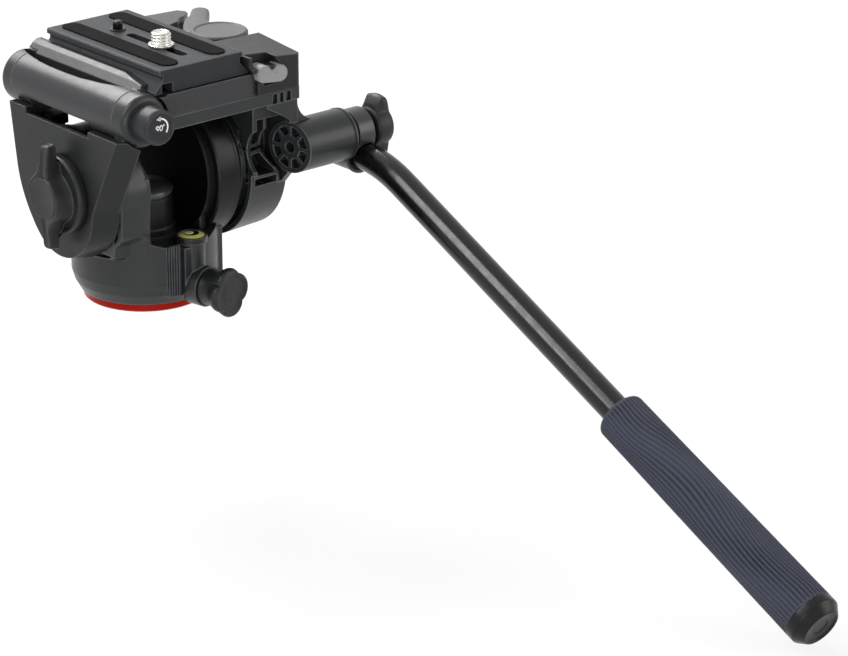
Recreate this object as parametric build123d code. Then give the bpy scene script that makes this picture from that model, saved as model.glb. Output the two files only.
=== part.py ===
from build123d import *
from math import atan2, cos, degrees, radians, sin, sqrt
import os

# Fluid video head, in millimetres. The origin is the centre of the base's bottom face, where the
# tripod's screw enters. Z is the pan axis and points up, +Y is the way the lens looks, and +X is
# the operator's right, where the pan bar is.

# Clearances shared by all the pieces
run_fit = 0.05
slide_gap = 0.3
press_gap = 0.02
cut_over = 2.0

# Base, the fixed side that is screwed to the tripod
base_radius = 30.0
base_ring_height = 4.0
base_ring_wall = 5.0
base_ring_chamfer = 0.8
base_plate_height = 5.0
base_boss_radius = 11.0
base_boss_height = 13.0
thread_radius = 4.76
thread_depth = 9.0
insert_wall = 2.4
insert_height = 10.5
spindle_flange_radius = 20.0
spindle_flange_height = 8.6
spindle_radius = 14.0
spindle_top = 30.8
nut_radius = 18.0
nut_height = 3.4
base_screw_count = 3
base_screw_length = 11.0
hex_share = 0.8
base_screw_circle = 16.5
screw_radius = 2.0
screw_head_radius = 3.6
screw_head_height = 2.2

# Pan housing, the casting that turns on the base
housing_wall = 5.5
housing_radius = base_radius + housing_wall
housing_foot_proud = 1.4
housing_foot_radius = base_radius + housing_foot_proud
housing_flare_height = 14.0
housing_rim_height = 42.0
housing_floor = 31.5
housing_web_bottom = 15.0
housing_cavity_inset = 4.0
housing_cavity_radius = base_radius - housing_cavity_inset
bowl_radius = 31.0
saddle_radius = 48.0
saddle_offset = 2.0
bush_wall = 3.0
damper_height = 1.1
rib_count = 5
rib_width = 0.8
rib_pocket_width = 9.0
rib_pocket_depth = 3.6
rib_pocket_x = -7.0
rib_pocket_top = 33.4
corner_panel_x = 28.5
corner_panel_y = -24.0
corner_panel_depth = 12.0
corner_panel_top = 38.0

# Column between the arms
column_radius = 14.5
column_flange_radius = 15.2
column_flange_height = 3.8
column_top = 51.0
column_groove = 0.9
column_groove_height = 1.2
column_cap_top = 55.4
column_cap_bevel = 3.0

# Bubble level, in the column behind the housing
level_radius = 7.4
level_stem_radius = 6.3
level_cup_height = 3.4
level_top = 36.0
level_inset = 4.5
level_distance = housing_radius - level_inset
level_angle = 10.0
level_wall = 0.9
level_depth = 2.8
bubble_radius = 2.0

# Pan lock
lock_angle = 12.0
lock_height = 11.0
lock_boss_radius = 9.8
lock_boss_proud = 4.5
lock_boss_end = housing_radius + lock_boss_proud
lock_screw_radius = 3.0
lock_screw_tip = 26.0
lock_neck_radius = 7.8
lock_neck_length = 6.0
lock_head_radius = 9.4
lock_head_length = 8.4
lock_lobe_radius = 3.6
lock_lobe_circle = 8.8
lock_lobe_count = 4
lock_lobe_turn = 98.0
lock_shoe_radius = 2.6
lock_shoe_length = 5.2

# Tilt axis
tilt_height = 60.0
cheek_radius = 30.5
cheek_outer = -housing_radius
cheek_inner = -18.0
cheek_foot_width = 24.0
cheek_cut_line = [(-7.0, 93.0), (-22.4, 76.0), (-30.6, 66.8)]
pivot_radius = 8.0
pivot_end = -19.0
pivot_bush_wall = 2.4
right_cheek_radius = 31.0
right_cheek_inner = 15.3
right_cheek_foot = 24.0
right_cheek_foot_top = 44.0
cradle_top = 40.0
shaft_radius = 6.0
shaft_start = 15.6
shaft_bush_wall = 3.0

# Tilt cartridge, the drum on the right
drum_radius = 36.0
drum_start = 18.5
drum_can_length = 11.0
drum_cover_length = 2.4
drum_wall = 3.0
drum_dish_depth = 1.2
drum_dish_radius = 32.5
drum_bevel = 0.8
rotor_gap = 0.8
rotor_thickness = 3.0
spring_inner_radius = 9.0
spring_outer_radius = 25.0
spring_width = 1.8

# Left arm, the shield with the tilt lock on it
arm_gap = 0.5
arm_thickness = 10.0
arm_inner = cheek_outer - arm_gap
arm_outer = arm_inner - arm_thickness
arm_top = 95.3
arm_front_corner = 42.8
arm_front_curve = [(38.2, 66.0), (31.6, 47.5), (26.6, 40.0), (15.5, 29.8), (5.0, 27.2)]
arm_outer_rear_corner = -42.8
arm_outer_curve = [(-4.0, 28.6), (-10.5, 32.2), (-18.2, 40.4), (-21.4, 48.3), (-23.6, 57.5)]
arm_inner_rear_corner = -50.5
arm_inner_curve = [(-4.0, 26.8), (-12.5, 30.6), (-24.0, 39.6), (-28.8, 48.0), (-31.6, 59.0)]
arm_recess_depth = 3.0
arm_recess_front = 29.5
arm_recess_rear = -20.5
arm_skin = 2.2
arm_pocket_depth = 12.0

# Tilt lock knob
tilt_disc_radius = 19.0
tilt_disc_thickness = 4.5
tilt_bar_half = 26.0
tilt_bar_height = 9.6
tilt_bar_shares = [(0.05, 1.0), (-0.1, 0.93), (-0.12, 0.54), (-0.34, 0.28), (-0.43, -0.08), (-0.33, -0.4),
                   (-0.23, -0.66), (-0.2, -0.9)]
tilt_screw_radius = 4.0
tilt_screw_end = -22.0

# Width of the camera plate, which sets what stands on either side of it
plate_x = 2.7
plate_width = 48.0
plate_left = plate_x - plate_width / 2
plate_right = plate_x + plate_width / 2

# Lower platform, which the arms carry
low_bottom = 96.6
low_top = 103.0
low_right = 59.0
deck_rear = -46.5
deck_front = 48.0
rib_recess_left = 43.0
rib_recess_right = 54.0
rib_recess_depth = 3.0

# Flip hinge, along Y on the left
hinge_outset = 10.0
hinge_x = plate_left - hinge_outset
hinge_z = 103.5
barrel_radius = 12.8
low_left_inset = 14.3
low_left = hinge_x + low_left_inset
barrel_rear = -36.0
barrel_front = 44.0
hinge_rear = -46.5
hinge_front = 52.5
hinge_pin_radius = 3.5
hinge_pin_rear = -38.0
barrel_cut_height = 8.2
barrel_cut_front = 31.0
barrel_cut_rear = -18.0
lug_front_round = 2.5
lug_rear_round = 3.0
button_radius = 8.7
button_face = -58.0
button_inner_end = -43.0
button_travel = 3.0
button_edge = 0.7
button_dish_radius = 6.8
button_dish_depth = 0.5

# Flip deck, which turns up by a quarter turn
deck_gap = 0.3
deck_top = 114.2
deck_left = -18.3
rail_top = 119.8
rail_ridge_gap = 2.1
rail_ridge_x = plate_left - rail_ridge_gap
rail_shoulder_width = 2.4
rail_shoulder_x = rail_ridge_x - rail_shoulder_width
rail_shoulder_z = 118.4
rail_width = 5.8
rail_outer_x = rail_ridge_x - rail_width
rail_outer_z = 115.1
rail_rear_shape = [(-20.0, 119.8), (-36.5, 117.8), (-40.5, 113.4)]
rail_front = 51.0
groove_floor = 110.6
groove_inset = 0.9
groove_inner_x = rail_outer_x + groove_inset
groove_lip = [(-0.5, 51.5), (-3.1, 41.0), (-4.6, 30.8), (-5.1, 22.0), (-5.2, 10.0), (-4.9, -2.0),
              (-4.0, -9.0), (-3.2, -15.8), (-0.7, -26.0), (3.0, -33.0)]
wing_left_top = 119.8
wing_right_top = 118.5
wing_outline = [(58.0, 48.0), (60.5, 44.5), (59.4, 41.2), (54.5, 37.6), (50.2, 35.6), (45.3, 31.0),
                (39.2, 28.5), (31.0, 26.5)]
wing_gap = 4.3
wing_left = plate_right + wing_gap
wing_right = 59.0
deck_corner = 6.0

# Sliding camera plate
plate_rear = -44.7
plate_front = 45.3
plate_bottom = 114.5
plate_top = 125.8
plate_lip = 2.5
plate_lip_bevel = 0.6
plate_neck_inset = 1.6
plate_neck_height = 2.6
plate_foot_outset = 3.1
plate_foot_height = 0.9
plate_slide = 30.0
plate_key_left = -20.4
plate_key_width = 6.2
plate_key_depth = 9.0
plate_key_height = 4.6
slot_width = 5.4
slot_rear = -32.5
slot_front = 12.5
channel_half_width = 10.5
channel_depth = 5.0
channel_overrun = 3.6
pad_width = 10.0
pad_offset = 13.7
pad_rear = -41.5
pad_front = 43.5
pad_height = 0.6
pad_groove = 0.9

# Camera screw and anti-twist pin
screw_y = -13.5
stud_radius = 4.76
stud_top = 133.0
stud_core_share = 0.86
thread_pitch = 1.59
thread_share = 0.3
stud_flange_radius = 6.2
stud_flange_height = 1.4
stud_shank_radius = 2.4
stud_head_radius = 8.8
stud_head_height = 2.4
washer_radius = 9.8
washer_height = 0.8
pin_y = 21.0
pin_radius = 2.4
pin_shank_radius = 2.0
pin_top = 130.4
pin_flange_radius = 4.0
pin_flange_height = 1.2
pin_bush_radius = 3.8
pin_bush_height = 0.7
pin_travel = 4.2
pin_pocket_radius = 4.5
pin_pocket_height = 6.9

# Catch block with its safety button
catch_gap = 1.2
catch_left = plate_right + catch_gap
catch_foot_gap = 3.9
catch_left_foot = plate_right + catch_foot_gap
catch_seam_gap = 6.3
catch_seam = plate_right + catch_seam_gap
catch_right = 58.8
catch_rear = -48.5
catch_front = -16.0
catch_left_top = 122.8
catch_right_rear_top = 119.2
catch_right_front_top = 122.0
catch_knee = 118.2
catch_corner = 3.0
catch_notch_gap = 2.9
catch_notch_left = plate_right + catch_notch_gap
catch_notch_middle = 40.2
catch_notch_right = 46.5
catch_notch_depth = 7.0
catch_notch_bottom = 116.6
safety_left = 32.0
safety_right = 49.9
safety_z = 112.9
safety_radius = 4.3
safety_dip = 1.1
safety_proud = 1.6
safety_depth = 7.0
safety_travel = 2.5

# Lock lever and the jaw that it drives
lever_outset = 19.0
lever_x = plate_right + lever_outset
lever_y = -1.9
lever_disc_radius = 14.0
lever_disc_bottom = 117.5
lever_disc_top = 122.9
lever_dish_radius = 11.6
lever_dish_depth = 0.5
lever_tab = (15.4, 35.7)
lever_flare = [(-13.0, 5.0), (-10.3, 14.8), (-3.4, 24.1), (1.6, 29.8), (4.4, 31.2), (8.2, 32.6),
               (19.0, 32.6), (6.6, 13.0)]
lever_width = 9.2
lever_angle = 40.0
lever_finger_top = 121.6
lever_pivot_radius = 4.0
lever_pivot_depth = 7.0
cam_radius = 9.0
cam_offset = 1.2
cam_gap = 0.35
jaw_rear = -15.0
jaw_front = 25.8
jaw_top = 117.2
jaw_flank = 1.0

# Right arm, with the open ribbed back and the boss for the pan bar
right_inner = 36.0
right_outer = 58.0
right_radius = 37.0
right_radius_inner = 38.0
right_skin = 3.2
spigot_radius = 29.0
spigot_gap = 0.6
groove_inner_radius = 30.5
groove_outer_radius = 35.6
groove_length = 9.0
right_block_rear = -46.2
right_block_front = 37.0
gusset_left = 39.6
gusset_bottom = 86.2
gusset_thickness = 3.0
web_foot_y = -34.0
web_foot_z = 50.0
cave_left = 38.4
cave_floor = -24.0
cave_bottom = 54.0
cave_top = 88.0
rib_bar = 1.5
rib_rear = -37.6
rib_middle_x = 45.0
rib_shelf_z = 73.5
rib_box_top = 70.0
rib_box_bottom = 58.4
rib_corner_x = 52.4
wheel_face = 54.8
wheel_turn = 12.0
wheel_hub_radius = 6.0
wheel_hole_radius = 2.7
wheel_rim = 2.3
wheel_pocket_depth = 5.0
wheel_spoke_count = 8
wheel_spoke_width = 1.8
boss_y = -44.0
boss_z = 72.2
boss_radius = 12.8
boss_end = 87.0
boss_thread_radius = 4.0

# Pan bar with its clamp, and the wing knob that holds it
rosette_gap = 0.3
rosette_radius = 7.4
rosette_thickness = 2.0
rosette_tooth_count = 24
rosette_tooth_depth = 0.6
clamp_radius = 11.2
clamp_length = 9.2
socket_x = 94.9
socket_drop = 11.0
socket_radius = 9.1
socket_mouth = -48.3
socket_front = -25.0
socket_floor = -29.0
bar_radius = 7.0
bar_bend_radius = 75.0
bar_angle = 24.6
grip_start = 170.0
grip_length = 136.0
grip_top_radius = 12.0
grip_bottom_radius = 13.0
grip_bore_length = 130.0
grip_end_round = 2.0
cap_length = 9.0
cap_bevel = 4.0
cap_recess_radius = 5.5
cap_recess_depth = 1.5
wing_hub_radius = 5.0
wing_hub_length = 3.4
wing_body_radius = 10.0
wing_body_length = 9.0
wing_span = 17.5
wing_lobe_radius = 4.4
wing_lobe_start = 2.2
wing_bolt_depth = 14.0


# Small helpers: round bars along an axis, boxes by their faces, and extruded outlines

def rod_z(radius, low, high, x=0, y=0):
    """Round bar along Z between two heights."""
    return Pos(x, y, (low + high) / 2) * Cylinder(radius, high - low)


def rod_x(radius, low, high, y=0, z=tilt_height):
    """Round bar along X between two places."""
    return Pos((low + high) / 2, y, z) * Rot(0, 90, 0) * Cylinder(radius, high - low)


def rod_y(radius, low, high, x=0, z=0):
    """Round bar along Y between two places."""
    return Pos(x, (low + high) / 2, z) * Rot(90, 0, 0) * Cylinder(radius, high - low)


def box(x_low, x_high, y_low, y_high, z_low, z_high):
    """Box between six faces."""
    centre = Pos((x_low + x_high) / 2, (y_low + y_high) / 2, (z_low + z_high) / 2)
    return centre * Box(x_high - x_low, y_high - y_low, z_high - z_low)


def prism_y(points, y_low, y_high):
    """Outline of (x, z) points carried along Y."""
    corners = [Vector(x, y_low, z) for x, z in points]
    face = make_face(Polyline(*corners, close=True))
    return extrude(face, amount=y_high - y_low, dir=(0, 1, 0))


def prism_x(points, x_low, x_high):
    """Outline of (y, z) points carried along X."""
    corners = [Vector(x_low, y, z) for y, z in points]
    face = make_face(Polyline(*corners, close=True))
    return extrude(face, amount=x_high - x_low, dir=(1, 0, 0))


def turned(points):
    """Outline of (radius, height) points turned about the Z axis."""
    face = make_face(Polyline(*[Vector(r, 0, z) for r, z in points], close=True))
    return revolve(face, Axis.Z, 360)


def solid_of(shape):
    """The one solid of a shape that booleans have left in a list or a compound."""
    return max(shape.solids(), key=lambda piece: piece.volume)


def on_lock_axis(shape):
    """Turns a shape made along +X at the origin onto the pan lock's axis."""
    return Pos(0, 0, lock_height) * Rot(0, 0, lock_angle - 90) * shape


# Base: what the tripod holds

def make_base_ring():
    ring = rod_z(base_radius, 0, base_ring_height)
    ring -= rod_z(base_radius - base_ring_wall, -cut_over, base_ring_height + cut_over)
    outer_edge = ring.edges().filter_by(GeomType.CIRCLE).group_by(Axis.Z)[0].sort_by(SortBy.LENGTH)[-1]
    return chamfer(outer_edge, base_ring_chamfer)


def screw_places():
    """The base screws' places round the pan axis."""
    return PolarLocations(base_screw_circle, base_screw_count)


def make_base_plate():
    plate = rod_z(base_radius - base_ring_wall - press_gap, 0, base_plate_height)
    plate += rod_z(base_boss_radius, 0, base_boss_height)
    plate -= rod_z(thread_radius + insert_wall + press_gap, -cut_over, insert_height + press_gap)
    for place in screw_places():
        plate -= place * rod_z(screw_radius + run_fit, -cut_over, base_plate_height + cut_over)
        plate -= place * rod_z(screw_head_radius + run_fit, -cut_over, screw_head_height + run_fit)
    return plate


def make_thread_insert():
    insert = rod_z(thread_radius + insert_wall, 0, insert_height)
    return insert - rod_z(thread_radius, -cut_over, thread_depth)


def make_base_screws():
    screws = []
    for place in screw_places():
        head = rod_z(screw_head_radius, run_fit, screw_head_height)
        shank = rod_z(screw_radius, screw_head_height, base_screw_length)
        socket = extrude(RegularPolygon(screw_radius * hex_share, 6), amount=screw_head_height * hex_share)
        screws.append(place * (head + shank - socket))
    return Compound(children=[solid_of(screw) for screw in screws])


def make_pan_spindle():
    inner = base_boss_radius + run_fit
    flange_bottom = base_plate_height
    flange = rod_z(spindle_flange_radius, flange_bottom, flange_bottom + spindle_flange_height)
    spindle = flange + rod_z(spindle_radius, flange_bottom, spindle_top)
    spindle -= rod_z(inner, flange_bottom - cut_over, spindle_top + cut_over)
    for place in screw_places():
        spindle -= place * rod_z(screw_radius + run_fit, 0, housing_floor)
    return spindle


def make_spindle_nut():
    nut = rod_z(nut_radius, spindle_top - nut_height, spindle_top)
    return nut - rod_z(spindle_radius + press_gap, 0, housing_floor)


# Pan housing and what turns with it

def saddle():
    """Round cut along Y that lowers the housing's rim between the two cheeks."""
    length = housing_radius + cut_over
    return rod_y(saddle_radius, -length, length, saddle_offset, housing_floor + saddle_radius)


def make_pan_housing():
    foot = base_ring_height + slide_gap
    rise = (housing_flare_height + foot) / 2
    flare = (housing_foot_radius + housing_radius * 2) / 3
    body = turned([(0, foot), (housing_foot_radius, foot), (flare, rise),
                   (housing_radius, housing_flare_height), (housing_radius, housing_rim_height),
                   (0, housing_rim_height)])
    body -= saddle()
    body -= rod_z(bowl_radius, housing_floor, housing_rim_height + cut_over)
    body += box(right_cheek_inner, corner_panel_x, corner_panel_y, corner_panel_y + corner_panel_depth,
                foot, corner_panel_top)
    body -= drum_room()
    body += rod_x(cheek_radius, cheek_outer, cheek_inner) - cheek_cut()
    body += box(cheek_outer, cheek_inner, -cheek_foot_width, cheek_foot_width, housing_floor,
                tilt_height - cheek_radius / 2)
    body += right_cheek()
    # Inside, from below: the room for the spindle's flange, the bush's bore and the nut's room
    body -= rod_z(housing_cavity_radius, 0, housing_web_bottom)
    body -= rod_z(spindle_radius + bush_wall + press_gap, 0, housing_floor + cut_over)
    body -= rod_z(nut_radius + slide_gap, spindle_top - nut_height - slide_gap, housing_floor)
    body += level_and_lock()
    body -= lock_cuts()
    body -= rib_pocket()
    body += rib_bars()
    # Bores of the tilt axis
    body -= rod_x(pivot_radius + pivot_bush_wall + press_gap, cheek_outer - cut_over, cheek_inner + cut_over)
    body -= rod_x(shaft_radius + shaft_bush_wall + press_gap, right_cheek_inner - cut_over, drum_start)
    return solid_of(body)


def cheek_cut():
    """Slanting cut at the back of the left cheek's top."""
    outline = cheek_cut_line + [(-cheek_radius - cut_over, cheek_cut_line[-1][1]),
                                (-cheek_radius - cut_over, cheek_cut_line[0][1])]
    return prism_x(outline, cheek_outer - cut_over, cheek_inner + cut_over)


def drum_room():
    """Room for the drum and the arm's spigot in the housing's right side."""
    return rod_x(drum_radius + press_gap, drum_start - press_gap, housing_radius * 2)


def right_cheek():
    """Disc that the drum is bolted to, and the foot under it."""
    end = drum_start - press_gap
    cheek = rod_x(right_cheek_radius, right_cheek_inner, end)
    return cheek + box(right_cheek_inner, end, -right_cheek_foot, right_cheek_foot, housing_floor,
                       right_cheek_foot_top)


def level_and_lock():
    """Column of the bubble level, and under it the boss of the pan lock."""
    bottom = base_ring_height + slide_gap
    column = at_level(rod_z(level_stem_radius, bottom, level_top))
    column += at_level(rod_z(level_radius, level_top - level_cup_height, level_top))
    boss = on_lock_axis(rod_x(lock_boss_radius, level_distance, lock_boss_end, 0, 0))
    boss -= rod_z(base_radius + slide_gap, -cut_over, bottom)
    inner = rod_z(housing_cavity_radius, 0, housing_floor)
    return (column + boss) - inner


def lock_cuts():
    """Bores of the pan lock's screw and shoe, and the level's cup."""
    screw = on_lock_axis(rod_x(lock_screw_radius + run_fit, 0, lock_boss_end + cut_over, 0, 0))
    return screw + at_level(rod_z(level_radius - level_wall, level_top - level_depth, level_top + cut_over))


def rib_pocket():
    """Shallow pocket in the back wall, left of the level's column."""
    floor = housing_radius - rib_pocket_depth
    return box(rib_pocket_x - rib_pocket_width / 2, rib_pocket_x + rib_pocket_width / 2,
               -housing_radius - cut_over, -floor, housing_web_bottom - housing_flare_height / 2,
               rib_pocket_top)


def rib_bars():
    """Upright ribs in the back wall's pocket."""
    floor = housing_radius - rib_pocket_depth
    pitch = rib_pocket_width / (rib_count + 1)
    ribs = []
    for index in range(rib_count):
        x = rib_pocket_x - rib_pocket_width / 2 + pitch * (index + 1)
        ribs.append(box(x - rib_width / 2, x + rib_width / 2, -floor - rib_pocket_depth / 3,
                        -floor + rib_width, housing_web_bottom - housing_flare_height / 2,
                        rib_pocket_top))
    return ribs


def make_pan_bush():
    bottom = base_plate_height + spindle_flange_height + slide_gap
    bush = rod_z(spindle_radius + bush_wall, bottom, spindle_top - nut_height - slide_gap)
    return bush - rod_z(spindle_radius + run_fit, 0, housing_floor)


def make_pan_damper():
    ring = rod_z(housing_cavity_radius - press_gap, housing_web_bottom - damper_height, housing_web_bottom)
    return ring - rod_z(spindle_radius + bush_wall + press_gap, 0, housing_floor)


def make_centre_column():
    flange_top = housing_floor + column_flange_height
    column = rod_z(spindle_radius + bush_wall, spindle_top + slide_gap, housing_floor)
    column += rod_z(column_flange_radius, housing_floor, flange_top)
    column += rod_z(column_radius, flange_top, column_top)
    groove = rod_z(column_radius + cut_over, column_top - column_groove_height, column_top)
    return column - (groove - rod_z(column_radius - column_groove, 0, column_cap_top))


def make_column_cap():
    cap = rod_z(column_radius, column_top, column_cap_top)
    top_edge = cap.edges().filter_by(GeomType.CIRCLE).group_by(Axis.Z)[-1]
    return chamfer(top_edge, column_cap_bevel)


def at_level(shape):
    """Moves a shape made on the Z axis to the bubble level's column."""
    angle = radians(level_angle)
    return Pos(level_distance * sin(angle), -level_distance * cos(angle), 0) * shape


def make_level_vial():
    radius = level_radius - level_wall - press_gap
    floor = level_top - level_depth
    dome = rod_z(radius, floor, level_top)
    cavity = rod_z(radius - level_wall, floor + level_wall, level_top - level_wall)
    return at_level(dome - cavity)


def make_level_liquid():
    radius = level_radius - level_wall * 2 - press_gap * 2
    bottom = level_top - level_depth + level_wall
    liquid = rod_z(radius, bottom + press_gap, level_top - level_wall - press_gap)
    bubble = rod_z(bubble_radius + press_gap, level_top - level_wall * 2, level_top)
    return at_level(liquid - bubble)


def make_level_bubble():
    return at_level(rod_z(bubble_radius, level_top - level_wall * 2, level_top - level_wall - press_gap))


def make_pan_shoe():
    """Brake shoe that the lock screw pushes against the spindle's flange."""
    tip = lock_screw_tip - slide_gap
    return on_lock_axis(rod_x(lock_shoe_radius, tip - lock_shoe_length, tip, 0, 0))


# Pan lock knob

def make_pan_knob():
    start = lock_boss_end + slide_gap
    neck_end = start + lock_neck_length
    head_end = neck_end + lock_head_length
    knob = rod_x(lock_neck_radius, start, neck_end, 0, 0)
    knob += rod_x(lock_head_radius, neck_end - lock_neck_length / 3, head_end, 0, 0)
    for index in range(lock_lobe_count):
        turn = radians(lock_lobe_turn + index * 360 / lock_lobe_count)
        y = lock_lobe_circle * cos(turn)
        z = lock_lobe_circle * sin(turn)
        knob += rod_x(lock_lobe_radius, neck_end, head_end, y, z)
    knob -= rod_x(lock_screw_radius + press_gap, start - cut_over, start + lock_neck_length, 0, 0)
    return solid_of(on_lock_axis(knob))


def make_pan_knob_screw():
    end = lock_boss_end + lock_neck_length
    return on_lock_axis(rod_x(lock_screw_radius, lock_screw_tip, end, 0, 0))


# Tilt cartridge: the drum on the housing's right cheek

def drum_end():
    """Right face of the drum's cover."""
    return drum_start + drum_can_length + drum_cover_length


def make_tilt_cartridge():
    can_end = drum_start + drum_can_length
    can = rod_x(drum_radius, drum_start, can_end)
    rim = can.edges().filter_by(GeomType.CIRCLE).group_by(Axis.X)[0]
    can = chamfer(rim, drum_bevel)
    dish = rod_x(drum_dish_radius, drum_start - cut_over, drum_start + drum_dish_depth)
    dish -= rod_x(right_cheek_radius, drum_start - cut_over, drum_start + cut_over)
    can -= dish
    can -= rod_x(drum_radius - drum_wall, drum_start + drum_wall, can_end + cut_over)
    can -= rod_x(shaft_radius + run_fit, drum_start - cut_over, can_end)
    return solid_of(can)


def make_cartridge_cover():
    start = drum_start + drum_can_length + press_gap
    cover = rod_x(drum_radius, start, drum_end())
    rim = cover.edges().filter_by(GeomType.CIRCLE).group_by(Axis.X)[-1]
    cover = chamfer(rim, drum_bevel)
    return solid_of(cover - rod_x(shaft_radius + run_fit, start - cut_over, drum_end() + cut_over))


def make_cartridge_rotor():
    start = drum_start + drum_wall + rotor_gap
    rotor = rod_x(drum_radius - drum_wall - rotor_gap, start, start + rotor_thickness)
    return rotor - rod_x(shaft_radius + press_gap, start - cut_over, start + rotor_thickness + cut_over)


def make_counterbalance_spring():
    """Flat spiral spring inside the drum, as the plain ring that it fills."""
    start = drum_start + drum_wall + rotor_gap * 2 + rotor_thickness
    ring = rod_x(spring_outer_radius, start, start + spring_width)
    return ring - rod_x(spring_inner_radius, start - cut_over, start + spring_width + cut_over)


def make_tilt_shaft():
    return rod_x(shaft_radius, shaft_start, right_outer - right_skin)


def make_shaft_bush():
    bush = rod_x(shaft_radius + shaft_bush_wall, right_cheek_inner, drum_start - press_gap)
    return bush - rod_x(shaft_radius + run_fit, right_cheek_inner - cut_over, drum_start + cut_over)


def make_pivot_bush():
    bush = rod_x(pivot_radius + pivot_bush_wall, cheek_outer, cheek_inner)
    return bush - rod_x(pivot_radius + run_fit, cheek_outer - cut_over, cheek_inner + cut_over)


def make_left_pivot():
    middle = (arm_outer + arm_inner) / 2
    pivot = rod_x(pivot_radius, middle, pivot_end)
    return pivot - rod_x(tilt_screw_radius + run_fit, middle - cut_over, pivot_end + cut_over)


# Left arm

def arm_outline(x, rear_corner_y, rear_curve):
    """Closed outline of the shield at one x: straight sides that run into a round foot."""
    front_corner = Vector(x, arm_front_corner, arm_top)
    rear_corner = Vector(x, rear_corner_y, arm_top)
    points = [Vector(x, y, z) for y, z in arm_front_curve + rear_curve]
    down_front = points[0] - front_corner
    up_rear = rear_corner - points[-1]
    curve = Spline(points, tangents=[down_front.normalized(), up_rear.normalized()])
    lines = [Line(front_corner, points[0]), curve, Line(points[-1], rear_corner),
             Line(rear_corner, front_corner)]
    return Face(Wire([line.edges()[0] for line in lines]))


def make_left_arm():
    outer = arm_outline(arm_outer, arm_outer_rear_corner, arm_outer_curve)
    inner = arm_outline(arm_inner, arm_inner_rear_corner, arm_inner_curve)
    arm = loft([outer, inner], ruled=True)
    arm -= box(arm_outer - cut_over, arm_inner + cut_over, arm_recess_rear, arm_recess_front,
               arm_top - arm_recess_depth, arm_top + cut_over)
    arm -= box(arm_outer + arm_skin, arm_inner + cut_over, arm_recess_rear, arm_recess_front,
               arm_top - arm_pocket_depth, arm_top + cut_over)
    room = barrel_radius + slide_gap
    arm -= rod_y(room, hinge_rear - cut_over * 2, hinge_front + cut_over, hinge_x, hinge_z)
    middle = (arm_outer + arm_inner) / 2
    arm -= rod_x(pivot_radius + press_gap, middle, arm_inner + cut_over)
    arm -= rod_x(tilt_screw_radius + run_fit, arm_outer - cut_over, arm_inner)
    return solid_of(arm)


# Tilt lock knob

def make_tilt_knob():
    start = arm_outer - slide_gap
    disc_end = start - tilt_disc_thickness
    knob = rod_x(tilt_disc_radius, disc_end, start)
    rim = knob.edges().filter_by(GeomType.CIRCLE).group_by(Axis.X)[0]
    knob = chamfer(rim, tilt_disc_thickness / 3)
    # The grip is a bar whose two edges sweep out and in again, the same when turned half round
    points = []
    for y_share, z_share in tilt_bar_shares:
        points.append(Vector(disc_end, y_share * tilt_bar_half, tilt_height + z_share * tilt_bar_half))
    for y_share, z_share in tilt_bar_shares:
        points.append(Vector(disc_end, -y_share * tilt_bar_half, tilt_height - z_share * tilt_bar_half))
    face = make_face(Spline(points, periodic=True))
    knob += extrude(face, amount=tilt_bar_height, dir=(-1, 0, 0))
    knob -= rod_x(tilt_screw_radius + press_gap, disc_end, start + cut_over)
    return solid_of(knob)


def make_tilt_knob_screw():
    start = arm_outer - slide_gap - tilt_disc_thickness
    return rod_x(tilt_screw_radius, start, tilt_screw_end)


# Lower platform with the two lugs of the flip hinge

def hinge_rod(radius, low, high):
    """Round bar on the flip hinge's axis."""
    return rod_y(radius, low, high, hinge_x, hinge_z)


def make_lower_platform():
    deck = box(low_left, low_right, deck_rear, deck_front, low_bottom, low_top)
    corners = deck.edges().filter_by(Axis.Z).group_by(Axis.X)[-1]
    deck = chamfer(corners.sort_by(Axis.Y)[-1:], deck_corner)
    rear_lug = hinge_rod(barrel_radius, hinge_rear, barrel_rear - slide_gap)
    rear_lug = fillet(rear_lug.edges().filter_by(GeomType.CIRCLE).group_by(Axis.Y)[0], lug_rear_round)
    front_lug = hinge_rod(barrel_radius, barrel_front + slide_gap, hinge_front)
    front_lug = fillet(front_lug.edges().filter_by(GeomType.CIRCLE).group_by(Axis.Y)[-1], lug_front_round)
    rear_part = (hinge_rear + lug_rear_round, barrel_rear - slide_gap)
    front_part = (barrel_front + slide_gap, deck_front)
    deck += rear_lug
    deck += front_lug
    deck -= lens_groove()
    for low, high in (rear_part, front_part):
        deck += box(hinge_x, low_left + cut_over, low, high, low_bottom, low_top)
    deck += box(arm_outer + cut_over * 2, hinge_x, rear_part[0], rear_part[1], arm_top, hinge_z)
    deck -= hinge_rod(button_radius + run_fit, hinge_rear - cut_over, button_inner_end + button_travel + press_gap)
    deck -= hinge_rod(hinge_pin_radius + press_gap, hinge_pin_rear, hinge_front - lug_front_round)
    deck -= rib_recess()
    deck += rib_recess_bars()
    return solid_of(deck)


def rib_recess():
    """Pocket at the right end of the platform's back edge."""
    return box(rib_recess_left, rib_recess_right, deck_rear - cut_over, deck_rear + rib_recess_depth,
               low_bottom - cut_over, low_top - rib_bar)


def rib_recess_bars():
    """Two upright ribs in that pocket."""
    pitch = (rib_recess_right - rib_recess_left) / 3
    bars = []
    for index in (1, 2):
        x = rib_recess_left + pitch * index
        bars.append(box(x - rib_bar / 2, x + rib_bar / 2, deck_rear, deck_rear + rib_recess_depth + rib_bar,
                        low_bottom, low_top - rib_bar))
    return bars


def make_hinge_pin():
    return hinge_rod(hinge_pin_radius, hinge_pin_rear + press_gap, hinge_front - lug_front_round - press_gap)


# Right arm

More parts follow.
